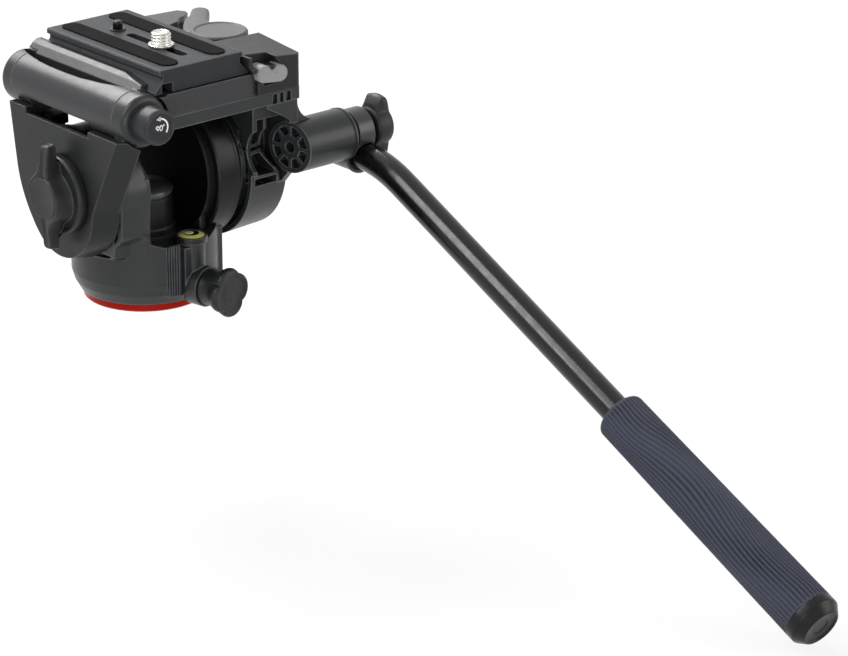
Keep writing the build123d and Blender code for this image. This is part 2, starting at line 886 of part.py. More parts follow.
def make_right_arm():
    outer = Plane(origin=(right_outer, 0, tilt_height), z_dir=(1, 0, 0)) * Circle(right_radius)
    inner = Plane(origin=(right_inner, 0, tilt_height), z_dir=(1, 0, 0)) * Circle(right_radius_inner)
    arm = loft([inner, outer])
    arm += box(right_inner, right_outer, right_block_rear + right_skin * 2, right_block_front, tilt_height,
               low_bottom)
    arm += web_plate()
    arm -= box(right_inner - cut_over, right_outer + cut_over, -right_radius_inner * 2, right_radius_inner * 2,
               low_bottom, low_top)
    groove = rod_x(groove_outer_radius, right_inner - cut_over, right_inner + groove_length)
    arm -= groove - rod_x(groove_inner_radius, right_inner - cut_over * 2, right_outer)
    arm += rod_x(spigot_radius, drum_end() + spigot_gap, right_inner)
    arm -= rib_cave()
    arm += cave_ribs()
    arm -= on_wheel(rod_x(boss_radius, -boss_radius * 2, 0, 0, 0))
    boss = at_boss(rod_x(boss_radius, wheel_face - boss_radius / 2, boss_end, 0, 0))
    arm += boss - on_wheel(rod_x(boss_radius * 2, -boss_radius * 2, 0, 0, 0))
    arm -= wheel_pockets()
    arm -= rod_x(boss_thread_radius + run_fit, boss_end - wing_bolt_depth, boss_end + cut_over, boss_y, boss_z)
    arm -= rod_x(shaft_radius + press_gap, drum_end(), right_outer - right_skin)
    return solid_of(arm)


def web_plate():
    """Back part of the arm, from the platform down to the boss, with its gusset on the left."""
    rear = right_block_rear
    outline = [(rear + right_skin * 4, low_bottom), (rear, low_bottom), (rear, boss_z),
               (boss_y, boss_z - boss_radius + rib_bar), (web_foot_y, web_foot_z), (cave_floor, web_foot_z)]
    web = prism_x(outline, wheel_face - rib_bar, right_outer)
    gusset = prism_y([(gusset_left, low_bottom), (gusset_left, low_bottom - rib_bar),
                      (wheel_face, gusset_bottom), (right_outer, gusset_bottom), (right_outer, low_bottom)],
                     rear, rear + gusset_thickness)
    return web + gusset


def rib_cave():
    """Window in the back of the casting, between its inner flange and the boss."""
    return box(cave_left, wheel_face, right_block_rear + gusset_thickness, cave_floor, cave_bottom, cave_top)


def rib_plate(start, end):
    """Stiffening rib between two (x, z) points, from the cave's floor to its rear edge."""
    x_step = end[0] - start[0]
    z_step = end[1] - start[1]
    length = sqrt(x_step ** 2 + z_step ** 2)
    middle_y = (rib_rear + cave_floor) / 2
    place = Pos((start[0] + end[0]) / 2, middle_y, (start[1] + end[1]) / 2)
    return place * Rot(0, -degrees(atan2(z_step, x_step)), 0) * Box(length + rib_bar, cave_floor - rib_rear,
                                                                  rib_bar)


def cave_ribs():
    """Stiffening ribs of the window: a shelf, an upright and a box with a slanted side."""
    runs = [((cave_left, rib_shelf_z), (rib_middle_x, rib_shelf_z)),
            ((rib_middle_x, rib_shelf_z), (rib_middle_x, cave_top)),
            ((cave_left, rib_box_top), (rib_middle_x, rib_box_top)),
            ((rib_middle_x, rib_box_top), (rib_corner_x, rib_box_bottom)),
            ((rib_corner_x, rib_box_bottom), (cave_left, rib_box_bottom)),
            ((rib_corner_x, rib_box_bottom), (rib_corner_x, cave_bottom))]
    return [rib_plate(start, end) for start, end in runs]


def on_wheel(shape):
    """Moves a shape made along X, with its face at the origin, onto the boss's left end."""
    return Pos(wheel_face, boss_y, boss_z) * Rot(0, 0, wheel_turn) * shape


def wheel_pockets():
    """Pockets between the spokes on the boss's left end, and its middle hole."""
    ring = rod_x(boss_radius - wheel_rim, -cut_over, wheel_pocket_depth, 0, 0)
    ring -= rod_x(wheel_hub_radius, -cut_over * 2, wheel_pocket_depth + cut_over, 0, 0)
    half = wheel_spoke_width / 2
    for index in range(wheel_spoke_count // 2):
        spoke = box(-cut_over * 2, wheel_pocket_depth + cut_over, -boss_radius, boss_radius, -half, half)
        ring -= Rot(index * 360 / wheel_spoke_count, 0, 0) * spoke
    return on_wheel(ring + rod_x(wheel_hole_radius, -cut_over, wheel_pocket_depth + wheel_rim, 0, 0))


# Flip deck and the pieces on it

def flank(side, z):
    """Place of the plate's sloping flank at height z, on side -1 or 1, with the sliding gap."""
    top = plate_top - plate_lip - plate_neck_height
    bottom = plate_bottom + plate_foot_height
    share = (top - z) / (top - bottom)
    share = min(max(share, 0), 1)
    reach = plate_width / 2 - plate_neck_inset + (plate_neck_inset + plate_foot_outset) * share
    return plate_x + side * (reach + slide_gap)


def make_flip_deck():
    bottom = low_top + deck_gap
    deck = box(deck_left, low_right, deck_rear, deck_front, bottom, deck_top)
    front_corner = deck.edges().filter_by(Axis.Z).group_by(Axis.X)[-1].sort_by(Axis.Y)[-1:]
    deck = chamfer(front_corner, deck_corner)
    deck += hinge_rod(barrel_radius, barrel_rear, barrel_front) - lens_groove()
    foot = plate_bottom + plate_foot_height
    rail = [(hinge_x, bottom), (deck_left + cut_over, bottom), (deck_left + cut_over, deck_top),
            (flank(-1, foot), deck_top), (flank(-1, foot), foot), (flank(-1, rail_top), rail_top),
            (rail_ridge_x, rail_top), (rail_shoulder_x, rail_shoulder_z), (rail_outer_x, rail_outer_z),
            (rail_outer_x, groove_floor), (hinge_x, groove_floor)]
    deck += prism_y(rail, deck_rear, rail_front) - rail_end()
    deck += deck_wing()
    room = barrel_radius + slide_gap
    for low, high in ((hinge_rear - cut_over * 2, barrel_rear), (barrel_front, hinge_front + cut_over)):
        deck -= hinge_rod(room, low, high)
    # Opening under the barrel
    deck -= box(hinge_x - barrel_radius - cut_over, deck_left, barrel_cut_rear, barrel_cut_front,
                hinge_z - barrel_radius - cut_over, hinge_z - barrel_radius + barrel_cut_height)
    deck -= hinge_rod(hinge_pin_radius + run_fit, hinge_rear, hinge_front)
    # Room for the catch block, the jaw and the lever's pivot
    deck -= box(catch_seam, low_right + cut_over, deck_rear - cut_over, catch_front, bottom - cut_over,
                deck_top + cut_over)
    deck -= rod_z(lever_pivot_radius + run_fit, deck_top - lever_pivot_depth, deck_top + cut_over,
                  lever_x, lever_y)
    deck -= safety_outline(slide_gap, catch_rear - cut_over, catch_rear + safety_depth + safety_travel)
    return solid_of(deck)


def lens_groove():
    """Groove between the barrel and the rail, pointed at both ends; its outer lip is a curve."""
    points = [(groove_inner_x, groove_lip[0][1])] + [(hinge_x + x, y) for x, y in groove_lip]
    face = make_face(Polyline(*[Vector(x, y, groove_floor) for x, y in points], close=True))
    return extrude(face, barrel_radius, dir=(0, 0, 1))


def rail_end():
    """What the rail's sloping back end leaves open."""
    high = rail_top + cut_over
    rear = deck_rear - cut_over
    outline = rail_rear_shape + [(rear, rail_rear_shape[-1][1]), (rear, high), (rail_rear_shape[0][0], high)]
    return prism_x(outline, hinge_x, flank(-1, rail_top) + cut_over)


def deck_wing():
    """Wing in the deck's front right corner; its top falls a little towards the right."""
    points = [(wing_left, deck_front)] + wing_outline
    face = make_face(Polyline(*[Vector(x, y, deck_top) for x, y in points], close=True))
    wing = extrude(face, rail_top, dir=(0, 0, 1))
    section = [(wing_left, deck_top), (wing_right + cut_over, deck_top),
               (wing_right + cut_over, wing_right_top), (wing_left, wing_left_top)]
    return wing & prism_y(section, wing_outline[-1][1] - cut_over, deck_front + cut_over)


def catch_section(y, right_top):
    """Section of the catch block's upper part at one y; its left side follows the plate's flank."""
    ledge = deck_top + slide_gap
    corners = [(catch_left_foot, ledge), (catch_right, ledge), (catch_right, right_top),
               (catch_left, catch_left_top), (catch_left, catch_knee)]
    return make_face(Polyline(*[Vector(x, y, z) for x, z in corners], close=True))


def make_catch_block():
    front = catch_front - press_gap
    block = loft([catch_section(catch_rear, catch_right_rear_top), catch_section(front, catch_right_front_top)],
                 ruled=True)
    block += box(catch_seam + press_gap, catch_right, catch_rear, front, low_top + deck_gap, deck_top + cut_over)
    rim = block.edges().filter_by(Axis.Z).group_by(Axis.X)[-1].sort_by(Axis.Y)[0]
    block = fillet(rim, catch_corner)
    block -= prism_y([(catch_notch_left, catch_left_top + cut_over), (catch_notch_left, catch_notch_bottom),
                      (catch_notch_middle, catch_notch_bottom), (catch_notch_right, catch_notch_bottom),
                      (catch_notch_middle, catch_left_top + cut_over)],
                     catch_rear - cut_over, catch_rear + catch_notch_depth)
    block -= safety_outline(slide_gap, catch_rear - cut_over, catch_rear + safety_depth + safety_travel)
    block -= rod_z(lever_disc_radius + slide_gap, lever_disc_bottom - slide_gap, lever_disc_top + cut_over,
                   lever_x, lever_y)
    block -= rod_z(cam_radius + cam_offset + slide_gap, deck_top, lever_disc_top, lever_x, lever_y)
    return solid_of(block)


def safety_outline(extra, y_low, y_high):
    """Kidney outline of the safety button, grown by extra, carried along Y."""
    radius = safety_radius + extra
    left = safety_left + safety_radius
    right = safety_right - safety_radius
    kidney = rod_y(radius, y_low, y_high, left, safety_z + safety_dip / 2)
    kidney += rod_y(radius, y_low, y_high, right, safety_z - safety_dip / 2)
    low_z = safety_z - safety_dip / 2 - radius
    return kidney + box(left, right, y_low, y_high, low_z, safety_z + radius - safety_dip * 2)


def make_safety_button():
    return solid_of(safety_outline(0, catch_rear - safety_proud, catch_rear + safety_depth))


def jaw_back():
    """Face of the jaw that the lever's cam bears on."""
    return lever_x - cam_offset - cam_radius - cam_gap


def make_clamp_jaw():
    bottom = deck_top + press_gap
    foot = plate_bottom + plate_foot_height
    side = [(flank(1, foot), bottom), (jaw_back(), bottom), (jaw_back(), jaw_top),
            (flank(1, jaw_top), jaw_top), (flank(1, foot), foot)]
    return prism_y(side, jaw_rear, jaw_front)


def make_lock_lever():
    lever = rod_z(lever_disc_radius, lever_disc_bottom, lever_disc_top)
    lever -= rod_z(lever_dish_radius, lever_disc_top - lever_dish_depth, lever_disc_top + cut_over)
    half = lever_width / 2
    place = Pos(lever_tab[0], lever_tab[1], 0) * Rot(0, 0, -lever_angle)
    finger = place * box(-half, half, -lever_disc_radius, 0, lever_disc_bottom, lever_finger_top)
    finger += rod_z(half, lever_disc_bottom, lever_finger_top, lever_tab[0], lever_tab[1])
    flare = make_face(Polyline(*[Vector(x, y, lever_disc_bottom) for x, y in lever_flare], close=True))
    finger += extrude(flare, lever_finger_top - lever_disc_bottom, dir=(0, 0, 1))
    lever += finger - rod_z(lever_disc_radius, lever_disc_bottom - cut_over, lever_disc_top)
    lever += rod_z(cam_radius, deck_top + slide_gap, lever_disc_bottom, -cam_offset, 0)
    lever += rod_z(lever_pivot_radius, deck_top - lever_pivot_depth + slide_gap, lever_disc_bottom)
    return solid_of(Pos(lever_x, lever_y, 0) * lever)


# Flip release button

def make_flip_button():
    button = hinge_rod(button_radius, button_face, button_inner_end)
    rim = button.edges().filter_by(GeomType.CIRCLE).group_by(Axis.Y)[0]
    button = chamfer(rim, button_edge)
    button -= hinge_rod(button_dish_radius, button_face - cut_over, button_face + button_dish_depth)
    return solid_of(button)


# Camera plate, its screw and its pin

def make_camera_plate():
    half = plate_width / 2
    neck = half - plate_neck_inset
    foot = half + plate_foot_outset
    neck_top = plate_top - plate_lip
    neck_bottom = neck_top - plate_neck_height
    foot_top = plate_bottom + plate_foot_height
    right_side = [(foot, plate_bottom), (foot, foot_top), (neck, neck_bottom), (neck, neck_top),
                  (half, neck_top), (half, plate_top - plate_lip_bevel), (half - plate_lip_bevel, plate_top)]
    outline = [(plate_x + x, z) for x, z in right_side]
    outline += [(plate_x - x, z) for x, z in reversed(right_side)]
    plate = prism_y(outline, plate_rear, plate_front)
    ends = slot_width / 2
    plate -= box(plate_x - ends, plate_x + ends, slot_rear + ends, slot_front - ends, plate_bottom,
                 plate_top + cut_over)
    plate -= rod_z(ends, plate_bottom, plate_top + cut_over, plate_x, slot_rear + ends)
    plate -= rod_z(ends, plate_bottom, plate_top + cut_over, plate_x, slot_front - ends)
    plate -= box(plate_x - channel_half_width, plate_x + channel_half_width, slot_rear - channel_half_width / 2,
                 slot_front + channel_overrun, plate_bottom - cut_over, plate_bottom + channel_depth)
    plate -= rod_z(pin_radius + run_fit, plate_bottom, plate_top + cut_over, plate_x, pin_y)
    plate -= rod_z(pin_pocket_radius, plate_bottom - cut_over, plate_bottom + pin_pocket_height,
                   plate_x, pin_y)
    plate -= rod_z(pin_bush_radius + press_gap, plate_top - pin_bush_height, plate_top + cut_over,
                   plate_x, pin_y)
    for side in (-1, 1):
        plate -= pad_solid(side, pad_width / 2 + press_gap, plate_top - pad_groove, plate_top + cut_over)
    plate -= box(plate_key_left, plate_key_left + plate_key_width, plate_rear - cut_over,
                 plate_rear + plate_key_depth, plate_bottom - cut_over, plate_bottom + plate_key_height)
    return solid_of(plate)


def pad_solid(side, half, low, high):
    """One rubber strip, round at both ends."""
    x = plate_x + side * pad_offset
    strip = box(x - half, x + half, pad_rear + half, pad_front - half, low, high)
    strip += rod_z(half, low, high, x, pad_rear + half)
    return strip + rod_z(half, low, high, x, pad_front - half)


def make_plate_pads():
    low = plate_top - pad_groove
    pads = [solid_of(pad_solid(side, pad_width / 2, low, plate_top + pad_height)) for side in (-1, 1)]
    return Compound(children=pads)


def make_screw_washer():
    top = plate_bottom + channel_depth - press_gap
    washer = rod_z(washer_radius, top - washer_height, top, plate_x, screw_y)
    return washer - rod_z(stud_shank_radius + run_fit, 0, plate_top, plate_x, screw_y)


def make_camera_screw():
    flange_low = plate_top + press_gap
    flange_high = flange_low + stud_flange_height
    screw = rod_z(stud_radius * stud_core_share, flange_low, stud_top, plate_x, screw_y)
    screw += rod_z(stud_flange_radius, flange_low, flange_high, plate_x, screw_y)
    turns = int((stud_top - flange_high) / thread_pitch)
    for index in range(turns):
        low = flange_high + thread_pitch * (index + thread_share)
        screw += rod_z(stud_radius, low, low + thread_pitch / 2, plate_x, screw_y)
    head_top = plate_bottom + channel_depth - washer_height - press_gap * 2
    screw += rod_z(stud_shank_radius, head_top, flange_low, plate_x, screw_y)
    screw += rod_z(stud_head_radius, head_top - stud_head_height, head_top, plate_x, screw_y)
    return solid_of(screw)


def make_align_pin():
    flange_top = plate_bottom + pin_pocket_height - press_gap
    pin = rod_z(pin_radius, flange_top, pin_top, plate_x, pin_y)
    tip = pin.edges().filter_by(GeomType.CIRCLE).group_by(Axis.Z)[-1]
    pin = chamfer(tip, pin_bush_height)
    shank_top = plate_top + pin_bush_height
    pin -= rod_z(pin_radius, flange_top, shank_top, plate_x, pin_y)
    pin += rod_z(pin_shank_radius, flange_top, shank_top, plate_x, pin_y)
    pin += rod_z(pin_flange_radius, flange_top - pin_flange_height, flange_top, plate_x, pin_y)
    return solid_of(pin)


def make_pin_bush():
    bush = rod_z(pin_bush_radius, plate_top - pin_bush_height, plate_top + pin_bush_height, plate_x, pin_y)
    return bush - rod_z(pin_radius + run_fit, plate_bottom, plate_top + cut_over, plate_x, pin_y)


# Pan bar

def at_boss(shape):
    """Moves a shape made along X through the origin onto the boss's axis."""
    return Pos(0, boss_y, boss_z) * shape


def make_rosette():
    """Toothed disc on the end of the boss."""
    end = boss_end + rosette_thickness
    disc = at_boss(rod_x(rosette_radius, boss_end, end, 0, 0))
    disc -= at_boss(rod_x(boss_thread_radius + run_fit, boss_end - cut_over, end + cut_over, 0, 0))
    half = rosette_tooth_depth / 2
    for index in range(rosette_tooth_count // 2):
        slot = box(end - rosette_tooth_depth, end + cut_over, -rosette_radius - cut_over,
                   rosette_radius + cut_over, -half, half)
        disc -= at_boss(Rot(index * 360 / rosette_tooth_count, 0, 0) * slot)
    return solid_of(disc)


def clamp_start():
    """Left face of the clamp, just off the rosette."""
    return boss_end + rosette_thickness + rosette_gap


def clamp_end():
    """Right face of the clamp, where the wing knob bears."""
    return clamp_start() + clamp_length


def make_bar_clamp():
    start = clamp_start()
    socket_z = boss_z - socket_drop
    clamp = at_boss(rod_x(clamp_radius, start, clamp_end(), 0, 0))
    clamp += rod_y(socket_radius, socket_mouth, socket_front, socket_x, socket_z)
    # Turned clear of the boss, the rosette and the wing knob, which it turns against
    clamp -= at_boss(rod_x(boss_radius + slide_gap, wheel_face, boss_end + slide_gap, 0, 0))
    clamp -= at_boss(rod_x(rosette_radius + slide_gap, boss_end, start, 0, 0))
    clamp -= at_boss(rod_x(wing_body_radius + slide_gap, clamp_end(), bar_knob_end(), 0, 0))
    reach = boss_y - boss_radius
    clamp -= rod_y(bar_radius + slide_gap, reach, socket_mouth, socket_x, socket_z)
    clamp -= rod_y(bar_radius + press_gap, socket_mouth - cut_over, socket_floor, socket_x, socket_z)
    clamp -= at_boss(rod_x(boss_thread_radius + run_fit, start - cut_over, clamp_end() + cut_over, 0, 0))
    return solid_of(clamp)


def bar_path():
    """Centre line of the bar: out of the socket, one bend, then straight down to the grip's end."""
    z = boss_z - socket_drop
    angle = radians(bar_angle)
    half = angle / 2
    bend_end = bar_point(0)
    middle = Vector(socket_x, socket_mouth - bar_bend_radius * sin(half), z - bar_bend_radius * (1 - cos(half)))
    mouth = Vector(socket_x, socket_mouth, z)
    inner = Line(Vector(socket_x, socket_floor - press_gap, z), mouth)
    bend = ThreePointArc(mouth, middle, bend_end)
    run = Line(bend_end, bar_point(grip_start + grip_bore_length))
    return Wire([inner.edges()[0], bend.edges()[0], run.edges()[0]])


def bar_point(distance):
    """Point on the bar's straight run, by its distance from the end of the bend."""
    angle = radians(bar_angle)
    z = boss_z - socket_drop - bar_bend_radius * (1 - cos(angle)) - distance * sin(angle)
    y = socket_mouth - bar_bend_radius * sin(angle) - distance * cos(angle)
    return Vector(socket_x, y, z)


def along_bar(shape):
    """Moves a shape made along Z from the origin onto the bar's straight run, Z pointing outward."""
    place = bar_point(0)
    return Pos(place.X, place.Y, place.Z) * Rot(90 + bar_angle, 0, 0) * shape


def make_bar_tube():
    path = bar_path()
    start = path @ 0
    profile = Plane(origin=start, z_dir=(0, -1, 0)) * Circle(bar_radius)
    return solid_of(sweep(profile, path=path))


def make_bar_grip():
    start = grip_start
    end = grip_start + grip_length
    outer = [(0, start), (grip_top_radius - grip_end_round, start), (grip_top_radius, start + grip_end_round),
             (grip_bottom_radius, end - grip_end_round), (grip_bottom_radius - press_gap, end), (0, end)]
    grip = turned(outer)
    grip -= rod_z(bar_radius + press_gap, start - cut_over, grip_start + grip_bore_length + press_gap)
    return solid_of(along_bar(grip))


def make_grip_cap():
    start = grip_start + grip_length
    end = start + cap_length
    cap = rod_z(grip_bottom_radius, start, end)
    rim = cap.edges().filter_by(GeomType.CIRCLE).group_by(Axis.Z)[-1]
    cap = chamfer(rim, cap_bevel)
    cap -= rod_z(cap_recess_radius, end - cap_recess_depth, end + cut_over)
    return solid_of(along_bar(cap))


def bar_knob_end():
    """Right face of the wing knob."""
    return clamp_end() + slide_gap + wing_hub_length + wing_body_length


def make_bar_knob():
    start = clamp_end() + slide_gap
    body_start = start + wing_hub_length
    lobe_start = body_start + wing_lobe_start
    end = bar_knob_end()
    knob = rod_x(wing_hub_radius, start, body_start, 0, 0)
    knob += rod_x(wing_body_radius, body_start, end, 0, 0)
    reach = wing_span - wing_lobe_radius
    for side in (-1, 1):
        knob += rod_x(wing_lobe_radius, lobe_start, end, 0, side * reach)
    knob += box(lobe_start, end, -wing_lobe_radius, wing_lobe_radius, -reach, reach)
    knob -= rod_x(boss_thread_radius + press_gap, start - cut_over, end - wing_body_length / 3, 0, 0)
    return solid_of(at_boss(knob))


def make_bar_knob_screw():
    start = boss_end - wing_bolt_depth + slide_gap
    return at_boss(rod_x(boss_thread_radius, start, bar_knob_end() - wing_body_length / 3, 0, 0))


# Every node and the function that makes it

nodes = {
    "base_plate": make_base_plate,
    "base_ring": make_base_ring,
    "thread_insert": make_thread_insert,
    "base_screws": make_base_screws,
    "pan_spindle": make_pan_spindle,
    "spindle_nut": make_spindle_nut,
    "pan_housing": make_pan_housing,
    "pan_bush": make_pan_bush,
    "pan_damper": make_pan_damper,
    "centre_column": make_centre_column,
    "column_cap": make_column_cap,
    "level_vial": make_level_vial,
    "level_liquid": make_level_liquid,
    "level_bubble": make_level_bubble,
    "pan_shoe": make_pan_shoe,
    "pan_knob": make_pan_knob,
    "pan_knob_screw": make_pan_knob_screw,
    "tilt_cartridge": make_tilt_cartridge,
    "cartridge_cover": make_cartridge_cover,
    "cartridge_rotor": make_cartridge_rotor,
    "counterbalance_spring": make_counterbalance_spring,
    "tilt_shaft": make_tilt_shaft,
    "shaft_bush": make_shaft_bush,
    "pivot_bush": make_pivot_bush,
    "left_pivot": make_left_pivot,
    "left_arm": make_left_arm,
    "right_arm": make_right_arm,
    "tilt_knob": make_tilt_knob,
    "tilt_knob_screw": make_tilt_knob_screw,
    "lower_platform": make_lower_platform,
    "hinge_pin": make_hinge_pin,
    "flip_deck": make_flip_deck,
    "catch_block": make_catch_block,
    "safety_button": make_safety_button,
    "clamp_jaw": make_clamp_jaw,
    "lock_lever": make_lock_lever,
    "flip_button": make_flip_button,
    "camera_plate": make_camera_plate,
    "plate_pads": make_plate_pads,
    "screw_washer": make_screw_washer,
    "camera_screw": make_camera_screw,
    "align_pin": make_align_pin,
    "pin_bush": make_pin_bush,
    "rosette": make_rosette,
    "bar_clamp": make_bar_clamp,
    "bar_tube": make_bar_tube,
    "bar_grip": make_bar_grip,
    "grip_cap": make_grip_cap,
    "bar_knob": make_bar_knob,
    "bar_knob_screw": make_bar_knob_screw,
}

os.makedirs("parts", exist_ok=True)
for name, make in nodes.items():
    shape = make()
    export_step(shape, os.path.join("parts", name + ".step"))
    print(name, "solids", len(shape.solids()), "volume", round(shape.volume))
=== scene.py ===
"""Looks of a fluid video head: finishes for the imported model, its finer pieces, and a pale studio.

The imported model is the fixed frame, in metres, +Z up. Lengths written here are millimetres and go through MM.
"""
import math

import bmesh
import bpy
import numpy as np
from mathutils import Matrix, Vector


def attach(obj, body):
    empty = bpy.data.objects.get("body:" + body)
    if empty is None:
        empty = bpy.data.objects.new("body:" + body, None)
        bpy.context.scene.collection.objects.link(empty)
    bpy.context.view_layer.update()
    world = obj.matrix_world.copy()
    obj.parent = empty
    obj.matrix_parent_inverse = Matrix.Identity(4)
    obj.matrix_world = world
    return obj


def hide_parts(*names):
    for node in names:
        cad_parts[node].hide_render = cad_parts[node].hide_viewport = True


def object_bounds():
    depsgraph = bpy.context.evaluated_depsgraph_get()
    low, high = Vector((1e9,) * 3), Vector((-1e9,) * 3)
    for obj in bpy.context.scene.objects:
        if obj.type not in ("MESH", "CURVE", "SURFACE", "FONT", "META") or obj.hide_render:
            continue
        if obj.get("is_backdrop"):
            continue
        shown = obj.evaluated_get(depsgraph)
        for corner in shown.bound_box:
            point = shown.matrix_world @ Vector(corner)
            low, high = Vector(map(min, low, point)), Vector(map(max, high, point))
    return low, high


bl_info = {
    "name": "Fluid video head",
    "version": (1, 0, 0),
    "blender": (4, 5, 0),
    "location": "3D View > Sidebar > Video Head",
    "description": "Dresses a fluid video head and lights it in a pale studio",
    "category": "Object",
}

MM = 0.001
TURN = 2 * math.pi

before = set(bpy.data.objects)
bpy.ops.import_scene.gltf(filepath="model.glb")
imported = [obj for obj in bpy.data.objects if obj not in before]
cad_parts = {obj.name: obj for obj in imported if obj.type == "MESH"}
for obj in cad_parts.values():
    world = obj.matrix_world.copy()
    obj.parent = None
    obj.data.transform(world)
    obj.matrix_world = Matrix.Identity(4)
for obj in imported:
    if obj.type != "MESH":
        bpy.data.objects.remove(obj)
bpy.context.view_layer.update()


# Colours and node trees

WAVE_LENGTH = 0.314  # length of one wave of the wave texture at scale 1


def linear(code):
    """An sRGB hex value as the linear colour that Blender works in."""
    shares = [int(code[i:i + 2], 16) / 255 for i in (0, 2, 4)]
    return tuple(s / 12.92 if s <= 0.04045 else ((s + 0.055) / 1.055) ** 2.4 for s in shares) + (1.0,)


def tone(colour, factor):
    """A linear colour made lighter or darker."""
    return tuple(min(1.0, c * factor) for c in colour[:3]) + (1.0,)


def add(tree, kind, settings=None):
    """Adds one node. Settings name its properties or sockets; a value that is itself a socket is linked."""
    node = tree.nodes.new(kind)
    for key, value in (settings or {}).items():
        if isinstance(value, bpy.types.NodeSocket):
            tree.links.new(value, node.inputs[key])
        elif isinstance(key, str) and hasattr(node, key):
            setattr(node, key, value)
        else:
            node.inputs[key].default_value = value
    return node


def new_material(name):
    """An empty node material and its tree."""
    material = bpy.data.materials.new(name)
    material.use_nodes = True
    material.node_tree.nodes.clear()
    return material, material.node_tree


def finish_material(material, tree, shader):
    """Joins a shader to the material's output."""
    add(tree, "ShaderNodeOutputMaterial", {"Surface": shader})
    return material


def principled(material, tree, settings):
    """Finishes a material with one Principled shader."""
    return finish_material(material, tree, add(tree, "ShaderNodeBsdfPrincipled", settings).outputs[0])


def object_place(tree):
    """Object coordinates."""
    return add(tree, "ShaderNodeTexCoord").outputs["Object"]


def grain(tree, size, detail=4.0):
    """Noise from 0 to 1 on Object coordinates, whose blobs are about size millimetres across."""
    return add(tree, "ShaderNodeTexNoise", {"Scale": 1 / (size * MM), "Detail": detail, "Roughness": 0.55,
                                            "Vector": object_place(tree)}).outputs["Fac"]


def bands(tree, direction, pitch, distort=0.0):
    """Waves from 0 to 1, pitch millimetres long along one axis."""
    wave = add(tree, "ShaderNodeTexWave", {"bands_direction": direction, "Scale": WAVE_LENGTH / (pitch * MM),
                                           "Distortion": distort, "Vector": object_place(tree)})
    return wave.outputs["Fac"]


def spread(tree, value, low, high, to_low, to_high):
    """Carries a value from one range to another and keeps it there."""
    return add(tree, "ShaderNodeMapRange", {0: value, 1: low, 2: high, 3: to_low, 4: to_high}).outputs[0]


def maths(tree, operation, first, second):
    """Joins two values, each a constant or a socket, by one operation."""
    return add(tree, "ShaderNodeMath", {"operation": operation, 0: first, 1: second}).outputs[0]


def blend_colours(tree, share, first, second):
    """Mixes two colours, each a constant or a socket."""
    return add(tree, "ShaderNodeMix", {"data_type": "RGBA", 0: share, 6: first, 7: second}).outputs[2]


def blend_shaders(tree, share, first, second):
    """Mixes two shaders."""
    return add(tree, "ShaderNodeMixShader", {0: share, 1: first, 2: second}).outputs[0]


def relief(tree, height, depth, normal=None, strength=1.0):
    """Normal of a relief that is depth millimetres deep, laid over another normal."""
    under = {} if normal is None else {"Normal": normal}
    return add(tree, "ShaderNodeBump", {"Strength": strength, "Distance": depth * MM, "Height": height,
                                        **under}).outputs[0]


def soft_edges(tree, width):
    """Normal that rounds the edges over a width in millimetres, and a mask that is 1 at those edges."""
    # Cosines between the rounded and the plain normal, where an edge begins and where it is full
    flat, sharp = 0.995, 0.93
    bevel = add(tree, "ShaderNodeBevel", {"samples": 6, "Radius": width * MM}).outputs[0]
    plain = add(tree, "ShaderNodeNewGeometry").outputs["Normal"]
    apart = add(tree, "ShaderNodeVectorMath", {"operation": "DOT_PRODUCT", 0: bevel, 1: plain})
    return bevel, spread(tree, apart.outputs["Value"], flat, sharp, 0.0, 1.0)


def coated(name, colour, rough=0.42, sheen_metal=0.0, peel=0.9, peel_depth=0.018, edge=0.4, rub=1.6,
           edge_highlight_share=0.5, cloud=0.10, specular=0.5, painted_shade=None):
    """Even finish over metal or plastic: clouded colour, edges painted lighter as a highlight, and a fine
    relief of peel millimetres.

    Clouds are 24 mm across, worn patches 5 mm, which also vary the edges' painted highlight, and pale specks
    0.7 mm. The last argument is None or a function that gives a mask of painted shade; where it is 1 the
    colour and gloss go to those of black paint.
    """
    material, tree = new_material(name)
    normal, edges = soft_edges(tree, edge)
    base = blend_colours(tree, grain(tree, 24.0, 3.0), tone(colour, 1 - cloud), tone(colour, 1 + cloud))
    specks = spread(tree, grain(tree, 0.7, 2.0), 0.62, 0.8, 0.0, 0.35)
    base = blend_colours(tree, specks, base, tone(colour, 1.7))
    wear_and_highlight_patches = grain(tree, 5.0, 5.0)
    # Painted highlight: edges made lighter by a factor of the colour, more or less as the worn patches vary
    painted_edge_highlight = maths(tree, "MULTIPLY", edges, spread(tree, wear_and_highlight_patches, 0.35, 0.65, edge_highlight_share * 0.6, edge_highlight_share))
    base = blend_colours(tree, painted_edge_highlight, base, tone(colour, rub))
    gloss = spread(tree, wear_and_highlight_patches, 0.3, 0.7, rough - 0.04, rough + 0.05)
    if painted_shade is not None:
        # Painted shade: where the mask is 1 the colour goes near black and the gloss to 0.6
        mask = painted_shade(tree)
        base = blend_colours(tree, mask, base, linear("050505"))
        gloss = add(tree, "ShaderNodeMix", {"data_type": "FLOAT", 0: mask, 2: gloss, 3: 0.6}).outputs[0]
    normal = relief(tree, grain(tree, peel, 3.0), peel_depth, normal)
    return principled(material, tree, {"Metallic": sheen_metal, "Specular IOR Level": specular,
                                       "Base Color": base, "Roughness": gloss, "Normal": normal})


def painted_shade_mask(tree):
    """Mask of painted shade on the housing's wall beside the drum: it rises to 1 over x 9 to 10 mm and z 40 to
    50 mm.
    """
    place = add(tree, "ShaderNodeSeparateXYZ", {0: object_place(tree)}).outputs
    right = spread(tree, place[0], 0.009, 0.010, 0.0, 1.0)
    return maths(tree, "MULTIPLY", right, spread(tree, place[2], 0.040, 0.050, 0.0, 1.0))


